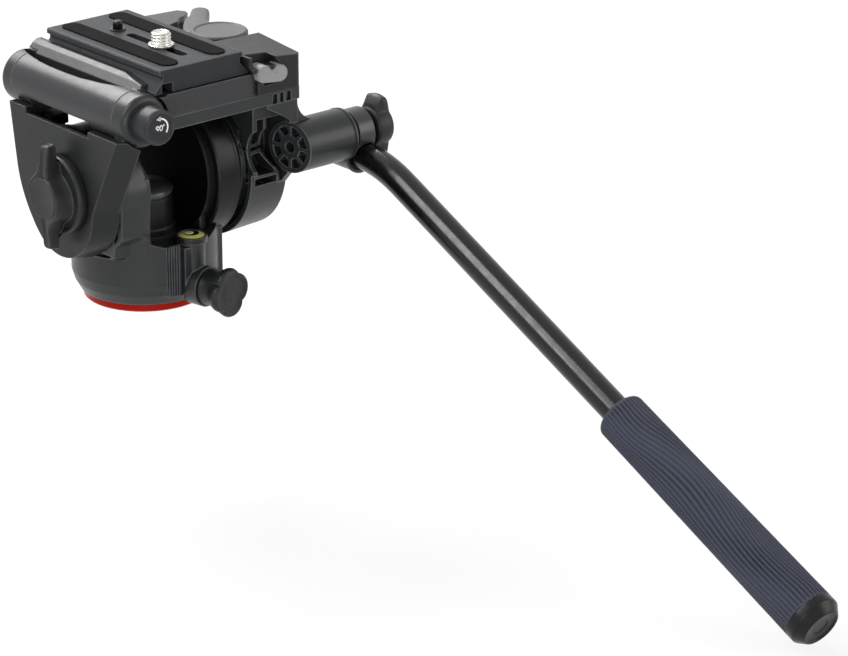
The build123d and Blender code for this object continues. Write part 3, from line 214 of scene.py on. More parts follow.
def turned_metal(name, colour, rough, pitch, depth, dirt):
    """Metal turned on a lathe: bright, with fine rings pitch millimetres apart along Z, stains, and edges
    painted lighter as a highlight.
    """
    material, tree = new_material(name)
    normal, edges = soft_edges(tree, 0.15)
    stain = grain(tree, 3.0)
    base = blend_colours(tree, spread(tree, stain, 0.4, 0.7, 0.0, dirt), colour, tone(colour, 0.55))
    # Painted highlight: lighter colour along the edges
    base = blend_colours(tree, edges, base, tone(colour, 1.15))
    return principled(material, tree, {"Metallic": 1.0, "Base Color": base,
                                       "Roughness": spread(tree, stain, 0.3, 0.7, rough * 0.8, rough * 1.25),
                                       "Normal": relief(tree, bands(tree, "Z", pitch, 0.6), depth, normal)})


def glossy_tint(name, colour, rough):
    """Tinted acrylic or liquid seen from outside: a bright, faintly swirled tint under a clear coat."""
    material, tree = new_material(name)
    tint = blend_colours(tree, grain(tree, 4.0, 2.0), tone(colour, 0.85), tone(colour, 1.1))
    return principled(material, tree, {"Roughness": rough, "Coat Weight": 0.6, "Coat Roughness": 0.03,
                                       "Base Color": tint})


def ribbed_rubber(name, colour):
    """Moulded rubber sleeve: dull blue-grey, darker in the grooves as painted shade and lighter on the ridge
    crests, with a fine sandy skin.
    """
    material, tree = new_material(name)
    height = add(tree, "ShaderNodeAttribute", {"attribute_name": "crest"}).outputs["Fac"]
    base = blend_colours(tree, grain(tree, 18.0), tone(colour, 0.86), tone(colour, 1.12))
    # Painted shade: darker towards the roots of the grooves
    base = blend_colours(tree, spread(tree, height, 0.1, 0.75, 0.95, 0.0), base, tone(colour, 0.22))
    base = blend_colours(tree, spread(tree, height, 0.82, 1.0, 0.0, 0.5), base, tone(colour, 2.0))
    sand = grain(tree, 0.5, 3.0)
    return principled(material, tree, {"Specular IOR Level": 0.2, "Sheen Weight": 0.03, "Base Color": base,
                                       "Roughness": spread(tree, sand, 0.3, 0.7, 0.6, 0.74),
                                       "Normal": relief(tree, sand, 0.04)})


def pad_rubber(name, colour):
    """Pressed rubber strip: near black, with fine ribs across it every 0.9 mm, pale specks of dust, and edges
    painted lighter as a highlight.
    """
    material, tree = new_material(name)
    normal, edges = soft_edges(tree, 0.3)
    specks = grain(tree, 0.8)
    base = blend_colours(tree, spread(tree, specks, 0.5, 0.75, 0.0, 1.0), colour, tone(colour, 1.8))
    # Painted highlight: lighter colour along the edges
    base = blend_colours(tree, edges, base, tone(colour, 1.4))
    normal = relief(tree, bands(tree, "Y", 0.9), 0.02, relief(tree, specks, 0.02, normal), 0.5)
    return principled(material, tree, {"Specular IOR Level": 0.02, "Roughness": 0.62, "Base Color": base,
                                       "Normal": normal})


# Surfaces

def unit(value):
    """A value kept between 0 and 1."""
    return np.clip(value, 0, 1)


def eased(share):
    """Smooth step of a share s: s2 (3 - 2 s)."""
    share = unit(share)
    return share * share * (3 - 2 * share)


def round_angles(count):
    """A row of angles that divide the circle."""
    return (np.arange(count) / count * TURN)[None]


def swept(radii, reach, angle):
    """Local points at these radii and heights round the out axis."""
    out = np.broadcast_to(reach, radii.shape)
    return np.stack([radii * np.cos(angle), radii * np.sin(angle), out], axis=-1)


def axes(origin, out, up):
    """Origin and three unit directions: right, up and out, as rows of an array."""
    out = np.array(out, float) / np.linalg.norm(out)
    right = np.cross(up, out)
    right /= np.linalg.norm(right)
    return np.array(origin, float), np.stack([right, np.cross(out, right), out])


def upright(origin):
    """Axes whose out direction is +Z and whose right is +X."""
    return axes(origin, (0, 0, 1), (0, 1, 0))


def carried(local, place):
    """Local (right, up, out) millimetre points carried to the model's frame, in metres."""
    origin, directions = place
    return (local @ directions + origin) * MM


def linked(name, data):
    """New object of the scene's own collection."""
    thing = bpy.data.objects.new(name, data)
    bpy.context.scene.collection.objects.link(thing)
    return thing


def aim(thing, target):
    """Points a lamp or camera at a place."""
    thing.rotation_euler = (Vector(target) - Vector(thing.location)).to_track_quat("-Z", "Y").to_euler()


def skin(name, sheets, sharp=35.0):
    """Mesh object from grids of points, each closed round its columns, with its first and last row closed.

    Face (i, j) joins rows i and i+1 at columns j and j+1, the last column meeting the first.
    """
    points, loops, sizes, first = [], [], [], 0
    for grid in sheets:
        rows, columns = grid.shape[:2]
        index = np.arange(rows * columns).reshape(rows, columns) + first
        ahead = np.roll(index, -1, axis=1)
        quads = np.stack([index[:-1], ahead[:-1], ahead[1:], index[1:]], axis=-1).reshape(-1, 4)
        points.append(grid.reshape(-1, 3))
        loops += [quads.ravel(), index[0][::-1], index[-1]]
        sizes += [np.full(len(quads), 4), np.array([columns]), np.array([columns])]
        first += rows * columns
    points, loops, sizes = np.concatenate(points), np.concatenate(loops), np.concatenate(sizes)
    mesh = bpy.data.meshes.new(name)
    mesh.vertices.add(len(points))
    mesh.vertices.foreach_set("co", points.astype(np.float32).ravel())
    mesh.loops.add(len(loops))
    mesh.loops.foreach_set("vertex_index", loops.astype(np.int32))
    mesh.polygons.add(len(sizes))
    mesh.polygons.foreach_set("loop_start", np.concatenate([[0], np.cumsum(sizes)[:-1]]).astype(np.int32))
    mesh.polygons.foreach_set("loop_total", sizes.astype(np.int32))
    mesh.update(calc_edges=True)
    build = bmesh.new()
    build.from_mesh(mesh)
    bmesh.ops.remove_doubles(build, verts=build.verts, dist=0.002 * MM)
    bmesh.ops.dissolve_degenerate(build, edges=build.edges, dist=0.001 * MM)
    bmesh.ops.recalc_face_normals(build, faces=build.faces)
    build.to_mesh(mesh)
    build.free()
    mesh.shade_smooth()
    mesh.set_sharp_from_angle(angle=math.radians(sharp))
    return linked(name, mesh)


def turned(profile, place, count=96):
    """Lathe surface: each (radius, height) of the profile becomes a circle round the out axis."""
    profile = np.array(profile, float)
    return carried(swept(profile[:, :1] + np.zeros(count), profile[:, 1:], round_angles(count)), place)


def rounded(corners, radius, steps=5):
    """Profile whose inner corners are rounded, each by a quadratic curve between two points on its sides."""
    corners = np.array(corners, float)
    radii = np.broadcast_to(np.array(radius, float), len(corners))
    share = np.linspace(0, 1, steps)[:, None]
    most = 0.49  # largest share of a side that the rounding of one corner takes
    rows = [corners[:1]]
    for before, corner, after, reach in zip(corners, corners[1:], corners[2:], radii[1:-1]):
        left, right = before - corner, after - corner
        cut = min(reach, most * np.linalg.norm(left), most * np.linalg.norm(right))
        a = corner + left / max(np.linalg.norm(left), 1e-9) * cut
        b = corner + right / max(np.linalg.norm(right), 1e-9) * cut
        rows.append((1 - share) ** 2 * a + 2 * share * (1 - share) * corner + share ** 2 * b)
    rows.append(corners[-1:])
    return np.concatenate(rows)


def smooth_loop(points, steps=8):
    """Closed curve through the points: Catmull-Rom cubics, each shaped by two points and their neighbours."""
    p = np.array(points, float)
    t = (np.arange(steps) / steps)[:, None, None]
    a, b, c, d = np.roll(p, 1, 0), p, np.roll(p, -1, 0), np.roll(p, -2, 0)
    curve = 0.5 * (2 * b + (c - a) * t + (2 * a - 5 * b + 4 * c - d) * t ** 2
                   + (3 * b - a - 3 * c + d) * t ** 3)
    return curve.transpose(1, 0, 2).reshape(-1, 2)


def inset(loop, distance):
    """Closed plane curve moved inwards along its own normals."""
    along = np.roll(loop, -1, 0) - np.roll(loop, 1, 0)
    normal = np.stack([-along[:, 1], along[:, 0]], axis=-1)
    normal /= np.maximum(np.linalg.norm(normal, axis=1, keepdims=True), 1e-9)
    area = np.sum(loop[:, 0] * np.roll(loop[:, 1], -1) - np.roll(loop[:, 0], -1) * loop[:, 1])
    return loop + normal * distance * (1 if area > 0 else -1)


def lofted(loop, levels, place):
    """Outline stacked along the out axis. Each level is (inset, height); inset None closes on the middle."""
    middle = loop.mean(axis=0)
    rows = []
    for distance, height in levels:
        flat = np.broadcast_to(middle, loop.shape) if distance is None else inset(loop, distance)
        rows.append(np.concatenate([flat, np.full((len(loop), 1), height)], axis=1))
    return carried(np.stack(rows), place)


def stroke(path, width, low, high, place):
    """Flat line of paint: a rectangle carried along a plane path, its sides half the width from the path."""
    path = np.array(path, float)
    along = np.gradient(path, axis=0)
    side = np.stack([-along[:, 1], along[:, 0]], axis=-1)
    side /= np.linalg.norm(side, axis=1, keepdims=True)
    width = np.broadcast_to(width, len(path))[:, None]
    left, right = path + side * width / 2, path - side * width / 2
    rows = [np.concatenate([edge, np.full((len(path), 1), level)], axis=1)
            for edge, level in ((left, low), (right, low), (right, high), (left, high))]
    return carried(np.stack(rows, axis=1), place)


def arc(centre, radius, first, last, count=24):
    """Points on a circle between two angles in degrees."""
    angle = np.radians(np.linspace(first, last, count))
    return np.stack([centre[0] + radius * np.cos(angle), centre[1] + radius * np.sin(angle)], axis=-1)


def placed(thing, material, body, node=None):
    """Gives a piece its finish, lets it ride on a body, and hides the node that it stands for."""
    thing.data.materials.append(material)
    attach(thing, body)
    if node:
        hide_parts(node)


def dress(nodes, material):
    """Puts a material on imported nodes, whose meshes are left alone."""
    for name in nodes:
        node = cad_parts[name]
        if not node.material_slots:
            node.data.materials.append(material)
        for place in node.material_slots:
            place.material = material


# Where things are, in millimetres

TILT_AXIS = (0.0, 0.0, 60.0)
HINGE = (-31.3, 0.0, 103.5)
BAR_AXIS = (0.0, -44.0, 72.2)
BAR_SOCKET = (94.9, 0.0, 61.2)
BAR_TILT = math.radians(24.6)
BEND_START, BEND_RADIUS = 48.3, 75.0
BAR_START = (BAR_SOCKET[0], -BEND_START - BEND_RADIUS * math.sin(BAR_TILT),
             BAR_SOCKET[2] - BEND_RADIUS * (1 - math.cos(BAR_TILT)))
BAR_OUT = (0.0, -math.cos(BAR_TILT), -math.sin(BAR_TILT))
LOCK_AXIS = (0.0, 0.0, 11.0)
LOCK_OUT = (math.sin(math.radians(12.0)), -math.cos(math.radians(12.0)), 0.0)
SCREW = (2.7, -13.5, 0.0)
PIN = (2.7, 21.0, 0.0)
LEVER = (45.7, -1.9, 0.0)
SAFETY = (40.95, 0.0, 112.9)
LEVEL = (31.0 * math.sin(math.radians(10.0)), -31.0 * math.cos(math.radians(10.0)), 0.0)


# Settings that a user would change

def colour_setting(name, description, code):
    return bpy.props.FloatVectorProperty(name=name, description=description, subtype="COLOR", size=4, min=0.0,
                                         max=1.0, default=linear(code))


def length_setting(name, description, value, low=0.01, high=200.0):
    return bpy.props.FloatProperty(name=name, description=description, default=value * MM, min=low * MM,
                                   max=high * MM, subtype="DISTANCE", unit="LENGTH", precision=5)


def angle_setting(name, description, value):
    return bpy.props.FloatProperty(name=name, description=description, default=math.radians(value),
                                   min=-math.pi, max=math.pi, subtype="ANGLE", unit="ROTATION")


class HeadFinishes(bpy.types.PropertyGroup):
    casting: colour_setting("Casting", "Powder coat of the housing and arms", "1b1c1d")
    deck: colour_setting("Deck", "Powder coat of the flip deck and its barrel", "27282a")
    plate: colour_setting("Plate", "Anodised camera plate", "333436")
    drum: colour_setting("Drum", "Paint of the tilt drum", "0c0c0d")
    ring: colour_setting("Ring", "Anodised base ring", "8e1206")
    knob: colour_setting("Knobs", "Moulded black plastic", "1a1b1c")
    light: colour_setting("Safety parts", "Moulded light grey plastic", "8b8b8a")
    tube: colour_setting("Tube", "Gloss lacquer on the bar tube", "0a0a0a")
    grip: colour_setting("Grip", "Rubber of the bar grip", "30333f")
    pads: colour_setting("Pads", "Rubber pads on the camera plate", "0f0f10")
    steel: colour_setting("Bright steel", "Plated camera screw", "d6d4ce")
    liquid: colour_setting("Level liquid", "Yellow-green liquid of the level", "d2dd2a")


class HeadSizes(bpy.types.PropertyGroup):
    edge: length_setting("Edge round", "Width of the rounded edges on castings", 0.9)
    thread_pitch: length_setting("Thread pitch", "Pitch of the camera screw", 1.5875)
    thread_depth: length_setting("Thread depth", "Crest to root of the camera screw's thread", 0.62)
    ridge_depth: length_setting("Ridge depth", "Depth of the grooves in the bar grip", 0.7)
    ridge_count: bpy.props.IntProperty(name="Ridges", description="Ridges round the bar grip", default=38,
                                       min=8, max=60)
    ridge_sway: angle_setting("Ridge sway", "How far the ridges wander round the grip", 15)


class HeadStudio(bpy.types.PropertyGroup):
    azimuth: angle_setting("Azimuth", "Camera's turn round the object from -Y", -40.24)
    elevation: angle_setting("Elevation", "Camera's height angle", 21.16)
    distance: length_setting("Distance", "Camera to the point that it looks at", 2061.46, 100.0, 9000.0)
    lens: bpy.props.FloatProperty(name="Lens", description="Focal length", default=36 * 4000 / 848, min=10.0,
                                  max=400.0, unit="CAMERA")
    target: bpy.props.FloatVectorProperty(name="Target", description="Point that the camera looks at", size=3,
                                          default=(175.88 * MM, 0.0, -63.56 * MM), subtype="XYZ",
                                          unit="LENGTH")
    floor: length_setting("Floor depth", "How far the floor lies under the object's lowest point", 3.0)


class HeadSettings(bpy.types.PropertyGroup):
    finishes: bpy.props.PointerProperty(type=HeadFinishes, name="Finishes", description="Colours")
    sizes: bpy.props.PointerProperty(type=HeadSizes, name="Sizes", description="Sizes of fine detail")
    studio: bpy.props.PointerProperty(type=HeadStudio, name="Studio", description="Camera and floor")


def colour_of(context, name):
    return tuple(getattr(context.scene.video_head.finishes, name))


def edge_of(context):
    """Width of the castings' rounded edges, in millimetres."""
    return context.scene.video_head.sizes.edge / MM


def moulded(name, colour, rough=0.5, rub=6.0):
    """Injection-moulded plastic: a spark-eroded skin of 0.4 mm grains, and corners painted lighter as a
    highlight.
    """
    return coated(name, colour, rough=rough, peel=0.4, peel_depth=0.014, edge=0.7, rub=rub, cloud=0.05,
                  specular=0.3)


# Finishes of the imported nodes

class HEAD_OT_castings(bpy.types.Operator):
    """Powder coat on the die-cast housing, arms and platform, and black painted shade inside"""
    bl_idname = "video_head.castings"
    bl_label = "Castings"

    def execute(self, context):
        edge = edge_of(context)
        casting = colour_of(context, "casting")
        deck = colour_of(context, "deck")
        # Die-cast aluminium, blasted and powder coated: an even satin skin with a faint orange peel
        skins = [
            ("Powder_coated_cast_aluminium", ["left_arm", "centre_column"], casting,
             0.36, 8.0, 0.7, 0.24, None),
            ("Powder_coated_arm", ["right_arm", "lower_platform"], tone(casting, 1.8),
             0.34, 8.0, 0.9, 0.32, None),
            # The housing's last entry is its mask of black painted shade on the wall beside the drum
            ("Powder_coated_housing", ["pan_housing"], tone(casting, 1.7), 0.34, 8.0, 0.7, 0.34, painted_shade_mask),
            ("Powder_coated_deck", ["flip_deck"], deck, 0.35, 4.0, 0.7, 0.38, None),
            ("Powder_coated_catch", ["catch_block"], tone(deck, 0.8), 0.4, 5.0, 0.7, 0.18, None),
        ]
        for name, nodes, colour, rough, rub, edge_highlight_share, specular, painted_shade in skins:
            dress(nodes, coated(name, colour, rough=rough, edge=edge, rub=rub, edge_highlight_share=edge_highlight_share,
                                specular=specular, painted_shade=painted_shade))
        # Sand-blasted and anodised plate: finer and duller than the coat
        dress(["camera_plate"], coated("Anodised_camera_plate", colour_of(context, "plate"), rough=0.38,
                                       peel=0.35, peel_depth=0.01, edge=0.8, rub=5.0, edge_highlight_share=0.9,
                                       specular=0.08))
        dress(["tilt_cartridge", "cartridge_cover"],
              coated("Painted_drum", colour_of(context, "drum"), rough=0.34, edge=0.8, rub=12.0, cloud=0.05,
                     specular=0.2))
        # Painted shade: these shafts and bushes are near black and dull, standing for the shade inside the
        # housing
        dress(["tilt_shaft", "shaft_bush", "left_pivot", "pivot_bush"],
              coated("Blackened_steel", linear("060606"), rough=0.7, edge=0.2, rub=1.0, cloud=0.05,
                     specular=0.04))
        return {"FINISHED"}


class HEAD_OT_metals(bpy.types.Operator):
    """Anodised base ring, turned steel, bronze and aluminium"""
    bl_idname = "video_head.metals"
    bl_label = "Metals"

    def execute(self, context):
        # Turned aluminium ring, dyed red when anodised: deep colour under a satin metal gloss
        dress(["base_ring"], coated("Red_anodised_aluminium", colour_of(context, "ring"), rough=0.3,
                                    sheen_metal=0.85, peel=0.3, peel_depth=0.006, edge=0.3, rub=1.4,
                                    cloud=0.05))
        steel = turned_metal("Turned_steel", linear("a9a8a4"), 0.34, 0.25, 0.006, 0.5)
        dress(["spindle_nut", "base_screws", "pan_knob_screw", "tilt_knob_screw", "hinge_pin",
               "bar_knob_screw", "counterbalance_spring", "screw_washer"], steel)
        dress(["thread_insert"], turned_metal("Stainless_insert", linear("b9b7b1"), 0.3, 0.8, 0.05, 0.6))
        dress(["base_plate", "pan_spindle", "cartridge_rotor", "rosette"],
              turned_metal("Turned_aluminium", linear("9c9c9b"), 0.38, 0.3, 0.008, 0.4))
        dress(["pan_bush"], turned_metal("Sintered_bronze", linear("a77a3c"), 0.45, 0.3, 0.01, 0.7))
        return {"FINISHED"}


class HEAD_OT_plastics(bpy.types.Operator):
    """Moulded plastics, rubber, lacquered tube and grease"""
    bl_idname = "video_head.plastics"
    bl_label = "Plastics and rubber"

    def execute(self, context):
        knob = colour_of(context, "knob")
        dress(["clamp_jaw", "pan_shoe"], moulded("Acetal", knob))
        dress(["bar_clamp"], coated("Powder_coated_clamp", tone(knob, 1.4), rough=0.34, edge=0.8, rub=6.0))
        dress(["pin_bush"], moulded("Glass_filled_nylon", tone(knob, 0.7)))
        dress(["plate_pads"], pad_rubber("Pressed_rubber", colour_of(context, "pads")))
        # Drawn aluminium tube under gloss black lacquer: a mirror-like skin with a very long soft wave
        dress(["bar_tube"], coated("Gloss_lacquer_on_tube", colour_of(context, "tube"), rough=0.2, peel=6.0,
                                   peel_depth=0.02, edge=0.1, rub=1.0, cloud=0.04, specular=0.36))
        dress(["pan_damper"], moulded("Damping_grease", linear("8a7a3c"), rough=0.3))
        return {"FINISHED"}


# Pieces

class HEAD_OT_bar_grip(bpy.types.Operator):
    """Rubber sleeve with wandering lengthwise ridges, and its end cap"""
    bl_idname = "video_head.bar_grip"
    bl_label = "Bar grip"

    def execute(self, context):
        sizes = context.scene.video_head.sizes
        start, length, root, columns = 170.0, 136.0, 12.0, 380
        depth = sizes.ridge_depth / MM
        place = axes(BAR_START, BAR_OUT, (1.0, 0.0, 0.0))
        # Outer radius: 12 to 13 mm along the sleeve, with a quarter round of 2 mm at its start.
        # Ridges: |sin| of half the ridge angle, where the angle round the sleeve is shifted by three slow
        # waves whose phase also turns with the angle, so that ridges crowd and part as wood grain does.
        nose = 2.0
        rows = nose * (1 - np.cos(np.linspace(0, math.pi / 2, 8)))
        along = np.concatenate([rows, np.linspace(2.6, 134.6, 150), [135.3, length]])[:, None]
        angle = round_angles(columns)
        fall = np.maximum(0, nose - along)
        radius = root + along / length - nose + np.sqrt(np.maximum(0, nose ** 2 - fall ** 2))
        sway = (np.sin(along / 25.0 + 0.8 * np.sin(angle + 0.4)) + 0.35 * np.sin(along / 15.0 + angle + 1.0)
                + 0.3 * np.sin(along / 38.0 - 2 * angle)) * sizes.ridge_sway
        sway = sway * unit((along - 6) / 22) * unit((128 - along) / 26)
        crest = np.abs(np.sin(sizes.ridge_count / 2 * (angle + sway))) ** 0.8
        fade = unit((along - 1.2) / 1.5) * unit((length - along) / 0.8)
        fade = fade * (0.72 + 0.28 * np.sin(along / 12.0 + 3 * angle) * np.sin(along / 31.0 + angle))
        outer = radius - depth * fade * (1 - crest)
        tube, deep = 7.03, 130.0
        bore = np.array([[0.0, deep], [tube, deep], [tube, 0.0]])
        inner = np.broadcast_to(bore[:, :1], (len(bore), columns))
        radii = np.concatenate([inner, outer, np.zeros((1, columns))])
        reach = np.concatenate([bore[:, 1:], along, [[length]]])
        sleeve = skin("bar_grip_sleeve", [carried(swept(radii, start + reach, angle), place)], 60.0)
        co = np.zeros(len(sleeve.data.vertices) * 3, np.float32)
        sleeve.data.vertices.foreach_get("co", co)
        local = (co.reshape(-1, 3) / MM - place[0]) @ place[1].T
        nominal = root + (local[:, 2] - start) / length
        height = 1 - (nominal - np.linalg.norm(local[:, :2], axis=1)) / depth
        mark = sleeve.data.attributes.new("crest", "FLOAT", "POINT")
        mark.data.foreach_set("value", unit(height).astype(np.float32))
        placed(sleeve, ribbed_rubber("Moulded_grip_rubber", colour_of(context, "grip")), "bar",
               "bar_grip")
        end = start + length
        profile = rounded([(0, end), (13.0, end), (13.0, end + 4.4), (9.6, end + 9.0), (8.6, end + 9.0),
                           (8.3, end + 8.2), (4.6, end + 7.9), (4.2, end + 7.5), (0, end + 7.5)], 0.5)
        cap = skin("bar_grip_cap", [turned(profile, place, 128)])
        nylon = coated("Gloss_nylon_cap", tone(colour_of(context, "knob"), 0.6), rough=0.3, edge=0.7, rub=7.0,
                       specular=0.22)
        placed(cap, nylon, "bar", "grip_cap")
        return {"FINISHED"}


class HEAD_OT_camera_screw(bpy.types.Operator):
    """Plated 3/8 inch screw with its helical thread, and the sprung anti-twist pin"""
    bl_idname = "video_head.camera_screw"
    bl_label = "Camera screw"

    def execute(self, context):
        sizes = context.scene.video_head.sizes
        pitch, depth, crest, columns = sizes.thread_pitch / MM, sizes.thread_depth / MM, 4.76, 120
        place = upright(SCREW)
        angle = round_angles(columns)
        # Thread: the radius falls from the crest by a rounded triangle of the height, less the turn's share
        # of a pitch
        tip = 133.0
        height = np.linspace(127.25, tip, 78)[:, None]
        phase = (height / pitch - angle / TURN) % 1.0
        vee = unit(1.25 * np.abs(2 * phase - 1) - 0.12)
        runout = unit((height - 127.3) / 0.8) * unit((tip - height) / 0.5)
        thread = crest - depth * (1 - vee) * runout - 0.9 * unit((height - 132.3) / 0.7) ** 1.5
        foot = rounded([(0, 116.3), (8.8, 116.3), (8.8, 118.6), (2.4, 118.6), (2.4, 125.82), (6.2, 125.82),
                        (6.2, 127.22), (5.0, 127.22)], 0.3, 4)
        top = rounded([(3.86, tip), (3.2, tip), (2.9, 132.4), (0, 132.4)], 0.25, 4)
        radii = np.concatenate([np.broadcast_to(foot[:, :1], (len(foot), columns)), thread,
                                np.broadcast_to(top[:, :1], (len(top), columns))])
        reach = np.concatenate([foot[:, 1:], height, top[:, 1:]])
        screw = skin("camera_screw_thread", [carried(swept(radii, reach, angle), place)], 40.0)
        # Turned and nickel-plated steel: bright, with a little grey staining
        plated = turned_metal("Nickel_plated_steel", colour_of(context, "steel"), 0.22, 0.4, 0.004, 0.3)
        placed(screw, plated, "screw", "camera_screw")
        profile = rounded([(0, 120.2), (3.95, 120.2), (3.95, 121.35), (1.95, 121.35), (1.95, 126.5),
                           (2.35, 126.6), (2.35, 129.4), (1.7, 130.4), (0, 130.4)], 0.35, 4)
        pin = skin("anti_twist_pin", [turned(profile, upright(PIN), 64)])
        placed(pin, coated("Blackened_pin", linear("17171a"), rough=0.3, sheen_metal=0.6, edge=0.15), "pin",
               "align_pin")
        return {"FINISHED"}


class HEAD_OT_knobs(bpy.types.Operator):
    """Pan lock knob, tilt lock knob and the bar's wing knob"""
    bl_idname = "video_head.knobs"
    bl_label = "Knobs"

    def execute(self, context):
        plastic = moulded("Glass_filled_nylon_knob", colour_of(context, "knob"), rough=0.42)
        self.pan_lock(plastic)
        self.tilt_lock(plastic)
        self.bar_lock(plastic)
        return {"FINISHED"}

    def pan_lock(self, plastic):
        """Radius = body + four lobes: the modulus of the cosine of twice the angle, growing with height."""
        place = axes(LOCK_AXIS, LOCK_OUT, (0, 0, 1))
        angle = round_angles(144)
        profile = rounded([(0, 40.3), (8.8, 40.3), (8.5, 43.0), (8.9, 46.5), (10.2, 50.0), (10.9, 53.2),
                           (10.1, 54.9), (8.9, 54.9), (8.3, 54.0), (5.4, 54.0), (5.2, 54.3), (0, 54.3)],
                          [0, 0.5, 1.5, 2, 2, 1.2, 0.8, 0.5, 0.6, 0.2, 0.2, 0], 6)
        body, along = profile[:, :1], profile[:, 1:]
        grow = eased((along - 46.0) / 6.5) * unit((body - 7.0) / 2.0)
        lobe = np.abs(np.cos(2 * (angle - math.radians(8.0)))) ** 0.7
        radii = body + (2.5 * lobe - 0.9) * grow
        piece = skin("pan_lock_knob", [carried(swept(radii, along, angle), place)])
        placed(piece, plastic, "pan_lock", "pan_knob")

    def tilt_lock(self, plastic):
        """A lathe disc with a stepped rim, and an S-shaped bar lofted from one closed curve and crowned."""
        place = axes(TILT_AXIS, (-1, 0, 0), (0, 0, 1))
        disc = rounded([(0, 46.3), (19.0, 46.3), (19.0, 49.3), (18.3, 50.8), (17.0, 50.8), (16.6, 50.1),
                        (0, 50.1)], 0.35)
        half = np.array([(-3.4, 24.4), (-1.2, 25.5), (1.9, 25.6), (3.1, 24.0), (3.0, 19.5), (3.1, 13.8),
                         (4.0, 10.5), (6.3, 8.4), (9.6, 4.8), (11.6, 0.2), (11.4, -4.4), (9.2, -8.3),
                         (5.4, -11.9), (3.6, -15.5), (3.3, -20.0)])
        loop = smooth_loop(np.concatenate([half, -half]), 7)
        levels = np.array([(-2.2, 49.0), (-1.2, 50.3), (-0.5, 52.2), (0.0, 54.6), (0.05, 57.4), (0.3, 58.2),
                           (0.8, 58.6), (1.2, 58.6), (1.5, 58.45)])
        flare = 1 - 0.8 * unit((np.abs(loop[:, 1:]) - 8.0) / 6.0)
        rows = [np.concatenate([loop + (inset(loop, distance) - loop) * (flare if distance < 0 else 1.0),
                                np.full((len(loop), 1), height)], axis=1) for distance, height in levels]
        middle = np.zeros((1, len(loop), 3))
        bar = np.concatenate([middle + (0, 0, 49.0), np.stack(rows), middle + (0, 0, 58.45)])
        # Crown and undercut: the face drops by 2 mm at the bar's ends, and past 17 mm its underside rises
        reach = np.abs(bar[..., 1])
        bar[..., 2] -= unit((bar[..., 2] - 50.0) / 6.0) * 2.0 * (reach / 26.0) ** 2
        bar[..., 2] += unit((56.0 - bar[..., 2]) / 7.0) * 3.5 * unit((reach - 17.0) / 3.0)
        mark = rounded([(0, 58.0), (9.8, 58.0), (9.8, 58.72), (9.5, 58.8), (9.2, 58.7), (0, 58.7)], 0.1, 3)
        piece = skin("tilt_lock_knob", [turned(disc, place), carried(bar, place), turned(mark, place)], 30.0)
        placed(piece, plastic, "tilt_lock", "tilt_knob")

    def bar_lock(self, plastic):
        """Radius = body + two wings: a clipped high power of the angle's sine, so their tops are level."""
        place = axes(BAR_AXIS, (1, 0, 0), (0, 0, 1))
        angle = round_angles(144)
        profile = rounded([(0, 98.8), (5.0, 98.8), (5.0, 102.0), (8.8, 102.3), (10.0, 103.4), (10.4, 108.2),
                           (9.6, 111.8), (7.4, 112.8), (0, 112.8)],
                          [0, 0.3, 0.5, 1.0, 1.5, 2.5, 1.8, 1.0, 0], 6)
        body, along = profile[:, :1], profile[:, 1:]
        # Wings: level tops with rounded ends, sloping more towards the bar
        rise = unit((along - 103.4) / 4.0) * unit((112.8 - along) / 2.6)
        rise = rise ** 0.7 * unit((body - 5.5) / 3.0)
        wing = eased(1.9 * np.abs(np.sin(angle)) ** 7 - 0.25)
        piece = skin("bar_wing_knob", [carried(swept(body + 5.4 * wing * rise, along, angle), place)], 50.0)
        placed(piece, plastic, "bar_lock", "bar_knob")


